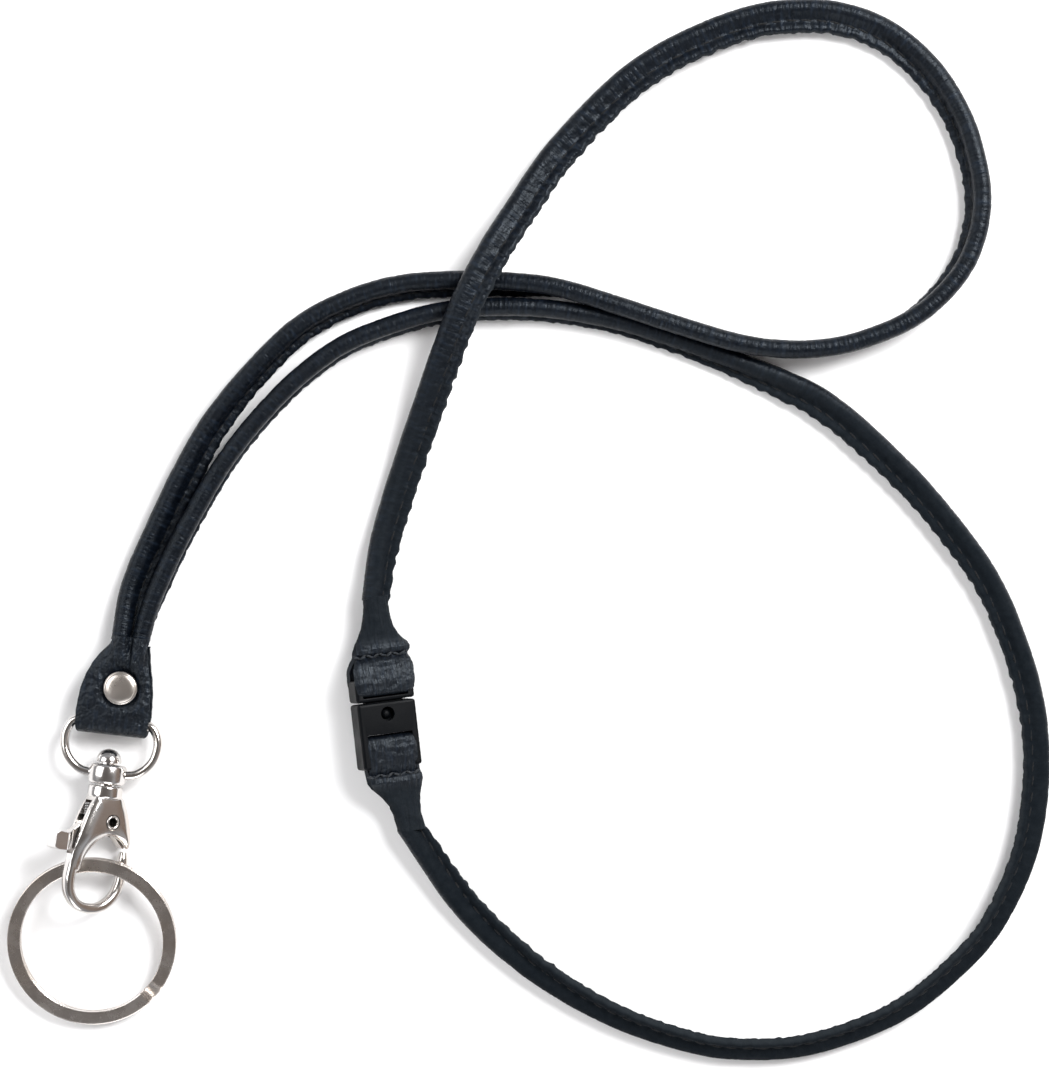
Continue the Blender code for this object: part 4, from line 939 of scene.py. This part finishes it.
# %% Spin helper
def turned_piece(name, profile, finish, matrix, steps=64, sharp=40):
    """Spins a profile of (radius, height) in mm round Z, and carries it into place."""
    shape = bmesh.new()
    verts = [shape.verts.new((radius * MM, 0, height * MM)) for radius, height in profile]
    edges = [shape.edges.new(pair) for pair in zip(verts, verts[1:])]
    bmesh.ops.spin(
        shape, geom=verts + edges, cent=(0, 0, 0), axis=(0, 0, 1), dvec=(0, 0, 0),
        angle=2 * pi, steps=steps, use_merge=True, use_duplicate=False,
    )
    bmesh.ops.transform(shape, matrix=matrix, verts=shape.verts)
    return piece_from(name, shape, finish, sharp)


def drilled(target, radius, low, high, matrix):
    """Cuts a round hole from one height to another along the matrix's Z, in mm."""
    profile = [(0, low), (radius, low), (radius, high), (0, high)]
    return worked(target, turned_piece("drill", profile, bright_nickel, matrix, 40), "DIFFERENCE")


def rounded(points, spacing=0.12):
    """A smooth profile through a few points, in mm."""
    return [(x, y) for x, y, _ in smooth_route([(x, y, 0) for x, y in points], spacing)[0]]


# %% Rivet
cap_low, cap_high = (corner.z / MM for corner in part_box("rivet_cap"))
cap_profile = [(0, cap_high)] + rounded([
    (0.001, cap_high), (1.2, cap_high - 0.03), (2.1, cap_high - 0.12), (2.65, cap_high - 0.28),
]) + rounded([
    (2.68, cap_high - 0.30), (2.78, cap_high - 0.27), (2.95, cap_high - 0.32), (3.14, cap_high - 0.52),
    (3.2, cap_high - 0.80), (3.12, cap_high - 1.08), (2.9, cap_low),
]) + [(1.5, cap_low), (1.5, cap_low + 0.5), (0, cap_low + 0.5)]
rivet_cap = turned_piece("rivet_cap_domed", cap_profile, satin_nickel, Matrix.Identity(4))
placed(rivet_cap, "strap", "rivet_cap")


# %% [markdown]
# A CAD node's mesh is loose triangles, so it shows facets. Where its shape is already right, a
# copy is merged, its flat triangles are joined into whole faces, and a small bevel gives its
# edges the light that real edges catch.

# %% Copies with soft edges
def soft_copy(node, name, finish, bevel, body):
    """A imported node's own shape, with its facets joined and a small bevel on its edges."""
    shape = bmesh.new()
    shape.from_mesh(frame["nodes"][node].data)
    bmesh.ops.remove_doubles(shape, verts=shape.verts, dist=0.001 * MM)
    bmesh.ops.dissolve_limit(shape, angle_limit=radians(1.5), verts=shape.verts, edges=shape.edges)
    copy = piece_from(name, shape, finish, 35)
    edge = copy.modifiers.new("edge", "BEVEL")
    edge.width = bevel
    edge.segments = 3
    edge.limit_method = "ANGLE"
    edge.angle_limit = radians(35)
    return placed(settled(copy, 12), body, node)


soft_copy("rivet_back", "rivet_back_cap", satin_nickel, 0.08 * MM, "strap")
for half, body in (("socket", "strap"), ("plug", "plug")):
    node = f"buckle_{half}"
    soft_copy(node, f"{node}_moulded", plastic_finish, 0.12 * MM, body)

# %% [markdown]
# ## Swivel eye and post
# The eye is a wire bent to a D, cast in one with the collar that the post turns in. A round
# section carried along a closed line makes the wire, and a spun barrel makes the collar. The
# post has a ball head above the collar and is fixed in the clasp below it.


# %% A section carried along a flat line
def carried(name, route, section_at, finish, matrix, closed=False):
    """Carries a section (x across the line, y through it) along a line in the XY plane."""
    ways = directions(route, closed)
    across = np.column_stack([-ways[:, 1], ways[:, 0], np.zeros(len(route))])
    rows = []
    for row, place in enumerate(route):
        ring = section_at(row / (len(route) - 1))
        ring = np.vstack([ring, ring[:1]])
        rows.append(place + ring[:, :1] * across[row] + ring[:, 1:] * np.array(UP))
    if closed:
        rows.append(rows[0])
    shape = bmesh.new()
    laid_grid(shape, np.array(rows))
    if not closed:
        filled_ends(shape)
    bmesh.ops.transform(shape, matrix=matrix, verts=shape.verts)
    return piece_from(name, shape, finish, 60)


def oval(half_across, half_through, squareness=2.0, count=28):
    """A closed outline between an ellipse and a rounded block."""
    turns = (np.arange(count) + 0.5) * 2 * pi / count
    power = 2 / squareness
    x = half_across * np.sign(np.cos(turns)) * np.abs(np.cos(turns)) ** power
    y = half_through * np.sign(np.sin(turns)) * np.abs(np.sin(turns)) ** power
    return np.column_stack([x, y])


# %% Eye
EYE_WIRE = 0.85 * MM
EYE_SIDE = [
    (7.0, 0.0), (7.96, -0.78), (8.75, -2.65), (8.75, -4.70), (8.05, -6.86), (6.48, -8.62),
    (4.38, -9.60), (0.0, -9.8),
]
eye_line = EYE_SIDE + [(-x, y) for x, y in EYE_SIDE[-2::-1]]
eye_bow = smooth_route(in_mm(eye_line), 0.3 * MM)[0]
bar_line = np.linspace(eye_bow[-1], eye_bow[0], 40)[1:-1]
eye_wire = carried(
    "swivel_eye_cast", np.vstack([eye_bow, bar_line]), lambda share: oval(EYE_WIRE, EYE_WIRE),
    bright_nickel, eye_frame, closed=True,
)
DOWN_AXIS = Matrix.Rotation(pi / 2, 4, "X")
collar = turned_piece("collar", [
    (0, 7.9), (2.9, 7.9), (3.15, 7.95), (3.45, 8.2), (3.58, 8.55), (3.62, 9.8), (3.58, 11.05),
    (3.45, 11.4), (3.15, 11.65), (2.9, 11.7), (0, 11.7),
], bright_nickel, eye_frame @ DOWN_AXIS)
worked(eye_wire, collar, "UNION")
drilled(eye_wire, 1.75, 6, 13, eye_frame @ DOWN_AXIS)
placed(eye_wire, "eye", "swivel_eye")

# %% Post
BALL = 2.45
BALL_HEIGHT = 7.45
ball_turn = np.radians(np.arange(90, -1, -5))
post_profile = [(0, 5.0)]
post_profile += [(BALL * cos(turn), BALL_HEIGHT - BALL * sin(turn)) for turn in ball_turn[1:]]
post_profile += [(2.40, 7.56), (2.2, 7.6), (1.6, 7.6), (1.6, 14.5), (0, 14.5)]
post = turned_piece("swivel_post_turned", post_profile, bright_nickel, eye_frame @ DOWN_AXIS)
placed(post, "clasp", "swivel_post")

# %% [markdown]
# ## The clasp
# A trigger clasp is one casting: a neck, two bulging cheeks with a slot between them for the
# lever, and a hook. It is built from simple solids. The cheeks are an extruded outline whose
# points are lifted into a dome by their distance from the edge, and the hook is a section carried
# along its curve. A voxel remesh with some smoothing melts them into one skin with soft edges,
# and Boolean operations then cut the slot and the pin's bore.

# %% Cheeks
CHEEK_OUTLINE = [
    (-2.7, -13.9), (0.0, -13.7), (2.7, -13.9), (4.0, -15.9), (4.9, -18.4), (5.5, -20.8), (5.75, -22.6),
    (5.45, -23.6), (4.6, -23.0), (3.2, -21.9), (1.3, -21.3), (-0.4, -21.8), (-1.9, -23.2),
    (-3.2, -25.4), (-4.2, -28.3), (-6.1, -28.0), (-6.0, -24.6), (-5.2, -20.6), (-4.1, -17.0),
]
CHEEK_SLAB = 2.0 * MM
CHEEK_RIM = 1.75 * MM
CHEEK_CROWN = 2.75 * MM
CHEEK_ROUNDING = 2.4 * MM
outline = closed_outline(CHEEK_OUTLINE, 0.2 * MM)


def slab(name, outline, half, finish):
    """An outline in the XY plane, extruded to both sides of it."""
    shape = bmesh.new()
    face = shape.faces.new([shape.verts.new((x, y, -half)) for x, y, _ in outline])
    grown = bmesh.ops.extrude_face_region(shape, geom=[face])
    lifted = [item for item in grown["geom"] if isinstance(item, bmesh.types.BMVert)]
    bmesh.ops.translate(shape, verts=lifted, vec=(0, 0, 2 * half))
    bmesh.ops.triangulate(shape, faces=shape.faces)
    return piece_from(name, shape, finish)


clasp = slab("clasp_body_cast", outline, CHEEK_SLAB, bright_nickel)
cast(clasp, 0.2 * MM, 2)
edge_tree = KDTree(len(outline))
for number, spot in enumerate(outline):
    edge_tree.insert(spot, number)
edge_tree.balance()
shape = bmesh.new()
shape.from_mesh(clasp.data)
for vert in shape.verts:
    depth = edge_tree.find((vert.co.x, vert.co.y, 0))[2]
    climb = 1 - (1 - min(1, depth / CHEEK_ROUNDING)) ** 2
    taper = 1 - 0.45 * smooth_step(-vert.co.y / MM, 21.0, 26.5)
    vert.co.z *= taper * (CHEEK_RIM + (CHEEK_CROWN - CHEEK_RIM) * climb ** 0.5) / CHEEK_SLAB
bmesh.ops.transform(shape, matrix=clasp_frame, verts=shape.verts)
shape.to_mesh(clasp.data)
shape.free()
print("cheeks:", len(clasp.data.polygons), "faces")

# %% Hook, neck and slot
HOOK_LINE = [
    (-4.7, -22.6), (-5.0, -25.0), (-5.4, -27.6), (-5.6, -30.2), (-5.1, -32.7), (-3.4, -34.6),
    (-0.9, -35.3), (1.9, -34.8), (4.2, -32.8), (5.3, -30.1), (5.5, -27.4), (5.4, -24.2),
]
hook_route = smooth_route(in_mm(HOOK_LINE), 0.3 * MM)[0]


def hook_section(share):
    tip = 1 - 0.25 * smooth_step(share, 0.95, 1.0)
    through = (1.45 - 0.42 * share) * tip
    return oval(1.02 * tip * MM, through * MM, 3.0 - 0.9 * share, 32)


hook = carried("hook", hook_route, hook_section, bright_nickel, clasp_frame)
neck = turned_piece("neck", [
    (0, 12.0), (2.95, 12.0), (3.18, 12.1), (3.27, 12.35), (3.27, 13.9), (3.15, 14.2), (2.9, 14.35),
    (0, 14.5),
], bright_nickel, clasp_frame @ DOWN_AXIS)
gathered(clasp, hook, neck)
cast(clasp, 0.11 * MM, 6)
SLOT_HALF = 1.15 * MM
SLOT_PLAN = [(-14, -14.9), (14, -14.9), (14, -24.0), (0.0, -24.0), (-0.9, -25.2), (-14, -25.2)]
slot_tool = slab("slot_tool", in_mm(SLOT_PLAN), SLOT_HALF, bright_nickel)
slot_tool.data.transform(clasp_frame)
worked(clasp, slot_tool, "DIFFERENCE")
drilled(clasp, 1.5, -5, 5, pin_frame)
placed(clasp, "clasp", "clasp_body")

# %% [markdown]
# The lever is a flat casting on the pin, with a gate arm that closes the hook and an arm that
# ends in a thumb tab. The pin is a tube whose ends are rolled over. Behind the lever a small coil
# pushes the thumb arm away from the neck; it flattens as the lever opens, but here it is one
# fixed coil that rides with the clasp.

# %% Lever
LEVER_OUTLINE = [
    (-1.95, 1.12), (-1.1, 1.96), (0.0, 2.25), (1.25, 1.88), (2.1, 0.85), (2.6, -0.9), (4.35, -3.55),
    (4.5, -4.1), (4.1, -4.7), (3.4, -4.75), (1.0, -2.3), (-0.2, -2.25), (-2.2, -2.3), (-5.2, -3.9),
    (-6.9, -5.6), (-9.0, -5.9), (-10.6, -5.8), (-11.15, -5.2), (-11.2, -3.2), (-10.8, -2.5), (-10.0, -2.4),
    (-8.2, -2.5), (-6.6, -1.5), (-5.2, -0.2),
]
LEVER_HALF = 0.9 * MM
lever = slab(
    "trigger_lever_cast", closed_outline(LEVER_OUTLINE, 0.3 * MM), LEVER_HALF, bright_nickel
)
cast(lever, 0.09 * MM, 5)
for vert in lever.data.vertices:
    vert.co.z *= 1 + 1.1 * smooth_step(-vert.co.x / MM, 7.0, 8.8)
lever.data.transform(pin_frame)
drilled(lever, 1.42, -3, 3, pin_frame)
placed(lever, "trigger", "trigger_lever")

# %% Pin
PIN_RIM = [(0.80, 2.3), (0.86, 2.75), (1.05, 2.9), (1.26, 2.82), (1.32, 2.55)]
pin_profile = [(radius, -height) for radius, height in PIN_RIM]
pin_profile += PIN_RIM[::-1] + [(0.80, -2.3)]
pin = turned_piece("lever_pin_rolled", pin_profile, bright_nickel, pin_frame, 48, 60)
# The faces inside the bore get the painted shade finish.
pin.data.materials.append(bore_painted_shade_finish)
for face in pin.data.polygons:
    face.material_index = int((pin_frame.inverted() @ face.center).xy.length < 0.83 * MM)
placed(pin, "clasp", "lever_pin")

# %% Spring
SPRING_TURNS = 5
SPRING_WIRE = 0.17 * MM
SPRING_RADIUS = 0.7 * MM
SPRING_ASIDE = 3.0 * MM
spring_turn = np.linspace(0, 2 * pi * SPRING_TURNS, 32 * SPRING_TURNS + 1)
coil = np.column_stack([
    -SPRING_ASIDE + SPRING_RADIUS * np.cos(spring_turn),
    -15.37 * MM - 2.4 * MM * spring_turn / spring_turn[-1],
    SPRING_RADIUS * np.sin(spring_turn),
])
coil_ways = directions(coil)
coil_side = np.cross(coil_ways, np.array((0, 1.0, 0)))
coil_side /= np.linalg.norm(coil_side, axis=1)[:, None]
shape = bmesh.new()
laid_grid(shape, tube_skin(coil, coil_side, np.cross(coil_side, coil_ways), SPRING_WIRE, 10))
filled_ends(shape)
bmesh.ops.transform(shape, matrix=clasp_frame, verts=shape.verts)
spring = placed(
    piece_from("lever_spring_coil", shape, spring_wire), node="lever_spring"
)
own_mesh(spring)
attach(spring, "clasp")

# %% [markdown]
# ## The split ring
# Two turns of flat wire, with one step where the layers change places. The wire is a block with
# rounded corners, carried round twice; the step is a short slope between two levels, and the two
# ends show beside it.

# %% Ring
RING_INNER = 13.5
RING_OUTER = 16.0
WIRE_THICK = 1.0
LAYER_GAP = 0.12
STEP_ANGLE = radians(-39)
STEP_SWEEP = radians(12)
pitch = (WIRE_THICK + LAYER_GAP) * MM
ring_turns = np.linspace(
    STEP_ANGLE - 2 * pi + 0.7 * STEP_SWEEP, STEP_ANGLE + 2 * pi - 0.7 * STEP_SWEEP, 620
)
wire_block = oval((RING_OUTER - RING_INNER) / 2 * MM, WIRE_THICK / 2 * MM, 9.0, 40)
middle_radius = (RING_OUTER + RING_INNER) / 2 * MM
ring_rows = []
for turn in ring_turns:
    level = pitch * (smooth_step(turn, STEP_ANGLE - STEP_SWEEP / 2, STEP_ANGLE + STEP_SWEEP / 2) - 0.5)
    spots = np.vstack([wire_block, wire_block[:1]])
    radius = middle_radius + spots[:, 0]
    ring_rows.append(np.column_stack([radius * cos(turn), radius * sin(turn), level + spots[:, 1]]))
shape = bmesh.new()
laid_grid(shape, np.array(ring_rows))
filled_ends(shape)
bmesh.ops.transform(shape, matrix=ring_frame, verts=shape.verts)
ring = piece_from("split_ring_wire", shape, ring_nickel, 50)
placed(ring, "key_ring", "split_ring")

# %% [markdown]
# ## The buckle's leather loops
# Each strap ends flat: it widens in a flare, is stitched down in a ridge, and goes round a bar of
# the buckle. As with the tab, one grid follows a path over the top, round the bar and back
# underneath, and Solidify gives the wall. At the flare the top and bottom meet at their edges, so
# that it closes into the sleeve that the rolled strap comes out of.


# %% Loop shapes
LOOP_COLUMNS = 60
LOOP_WALL = 1.0 * MM
NOSE_LENGTH = 1.5


def loop_grid(side, stops, seed):
    """stops are (along, half width, height above, below, how far the edges close, sideways)."""
    table = np.array(stops, float)
    bar, far = table[0, 0], table[-1, 0]
    top = np.linspace(far, bar + 0.02, 150)
    rows = [(along, 1) for along in top] + [(along, -1) for along in top[::-1]]
    points, painted = blank_sheet(len(rows), LOOP_COLUMNS)
    for row, (along, face_side) in enumerate(rows):
        half, above, below, closes, lean_over = (
            np.interp(along, table[:, 0], table[:, k]) for k in (1, 2, 3, 4, 5)
        )
        nose = min(1, (along - bar) / NOSE_LENGTH)
        height = (above if face_side > 0 else below) * (1 - (1 - nose) ** 3) ** (1 / 3)
        for column in range(LOOP_COLUMNS):
            share = 2 * column / (LOOP_COLUMNS - 1) - 1
            closed = (1 - abs(share) ** 3.2) ** 0.5
            open_edge = 1 - 0.16 * abs(share) ** 7
            lift = height * (closes * closed + (1 - closes) * open_edge)
            x = half * share + lean_over
            streak = noise.noise((x * 2.3, along * 0.22, seed))
            streak += 0.5 * noise.noise((x * 4.6, along * 0.5, seed + 4))
            waver = noise.noise((x * 0.8, along * 0.9, seed + 8))
            calm = smooth_step(nose, 0.0, 0.5) * (1 - abs(share) ** 8)
            lift += (0.13 * streak + 0.14 * waver) * calm
            x += 0.12 * noise.noise((along * 0.9, seed, 2.0)) * share
            points[row, column] = buckle_frame @ Vector(
                (x * MM, side * along * MM, face_side * lift * MM)
            )
            painted["along_m"][row, column] = (along if face_side > 0 else -along) * MM
            painted["across_m"][row, column] = x * MM
            painted["nap"][row, column] = 0.85 * smooth_step(along, far - 9.5, far - 7.5)
            painted["rim"][row, column] = 0.4 * smooth_step(abs(share), 0.985, 1.0) * (1 - closes)
    return points, painted


def make_loop(name, side, stops, seed, node, body):
    """A strap's end, folded round its half of the buckle."""
    points, painted = loop_grid(side, stops, seed)
    shape = bmesh.new()
    laid_grid(shape, points, painted)
    loop = piece_from(name, shape, loop_finish)
    up = buckle_frame.to_3x3() @ UP
    return placed(walled(loop, LOOP_WALL, Vector(BUCKLE_POINT), up), body, node)


UPPER_STOPS = [  # along, half width, above, below, closes, sideways
    (0.90, 4.2, 2.9, 2.4, 0.0, 0.0), (1.3, 4.9, 3.1, 2.4, 0.0, 0.0), (2.0, 5.6, 3.3, 2.45, 0.0, 0.1),
    (3.6, 5.95, 3.35, 2.5, 0.0, 0.1), (5.2, 6.0, 3.2, 2.45, 0.0, 0.1), (6.6, 5.9, 2.9, 2.2, 0.0, 0.2),
    (7.6, 5.6, 2.4, 1.9, 0.0, 0.3), (8.3, 5.2, 1.75, 1.7, 0.05, 0.4), (8.7, 5.15, 1.5, 1.55, 0.1, 0.5),
    (9.2, 5.3, 2.05, 1.5, 0.15, 0.7), (10.0, 5.35, 2.2, 1.5, 0.25, 0.9), (10.8, 5.1, 1.9, 1.45, 0.5, 0.9),
    (11.4, 4.7, 1.55, 1.4, 0.8, 0.7), (12.4, 4.0, 1.45, 1.4, 0.97, 0.6), (14.0, 3.2, 1.6, 1.5, 1.0, 0.6),
    (16.0, 2.65, 1.75, 1.65, 1.0, 0.7), (18.0, 2.42, 1.8, 1.7, 1.0, 0.85), (19.8, 2.45, 1.85, 1.78, 1.0, 0.95),
]
LOWER_STOPS = [
    (6.3, 4.2, 2.7, 2.4, 0.0, 0.0), (6.8, 4.6, 3.0, 2.4, 0.0, 0.1), (8.8, 4.85, 3.15, 2.4, 0.0, 0.2),
    (11.4, 4.85, 2.9, 2.2, 0.0, 0.3), (12.7, 4.85, 2.35, 1.9, 0.0, 0.3), (13.4, 5.0, 1.75, 1.8, 0.0, 0.4),
    (13.9, 5.1, 1.55, 1.6, 0.05, 0.5), (14.5, 5.15, 2.05, 1.55, 0.1, 0.6), (15.4, 5.15, 2.2, 1.5, 0.25, 0.7),
    (16.3, 4.9, 1.85, 1.45, 0.5, 0.9), (17.0, 4.55, 1.55, 1.4, 0.8, 1.2), (18.2, 3.85, 1.45, 1.4, 0.97, 1.6),
    (20.0, 3.05, 1.6, 1.5, 1.0, 2.1), (22.0, 2.7, 1.8, 1.7, 1.0, 2.4), (24.9, 2.75, 1.9, 1.8, 1.0, 2.95),
]
make_loop("loop_upper_leather", 1, UPPER_STOPS, 21.0, "loop_upper", "plug")
make_loop("loop_lower_leather", -1, LOWER_STOPS, 31.0, "loop_lower", "strap")


# %% Ridge stitches
RIDGE_STITCH = (0.78 * MM, 0.25 * MM, 0.26 * MM)
RIDGE_PITCH = 1.3


def ridge_stitches(name, side, along, height, half, body):
    """A row of thread across the ridge, each stitch at a slant."""
    shape = bmesh.new()
    for number, x in enumerate(np.arange(-half, half + 0.01, RIDGE_PITCH)):
        slant = Matrix.Rotation(radians(32 if number % 2 else -24), 4, "Z")
        middle = Matrix.Translation((x * MM, side * along * MM, height * MM))
        stitch(shape, RIDGE_STITCH, buckle_frame @ middle @ slant)
    return placed(piece_from(name, shape, ridge_thread_finish), body)


ridge_stitches("stitches_upper_ridge", 1, 8.7, 1.85, 4.7, "plug")
ridge_stitches("stitches_lower_ridge", -1, 13.95, 1.88, 4.6, "strap")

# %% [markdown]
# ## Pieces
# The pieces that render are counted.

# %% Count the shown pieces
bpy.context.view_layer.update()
shown = [item for item in bpy.context.scene.objects if item.type == "MESH" and not item.hide_render]
print("pieces:", len(shown))
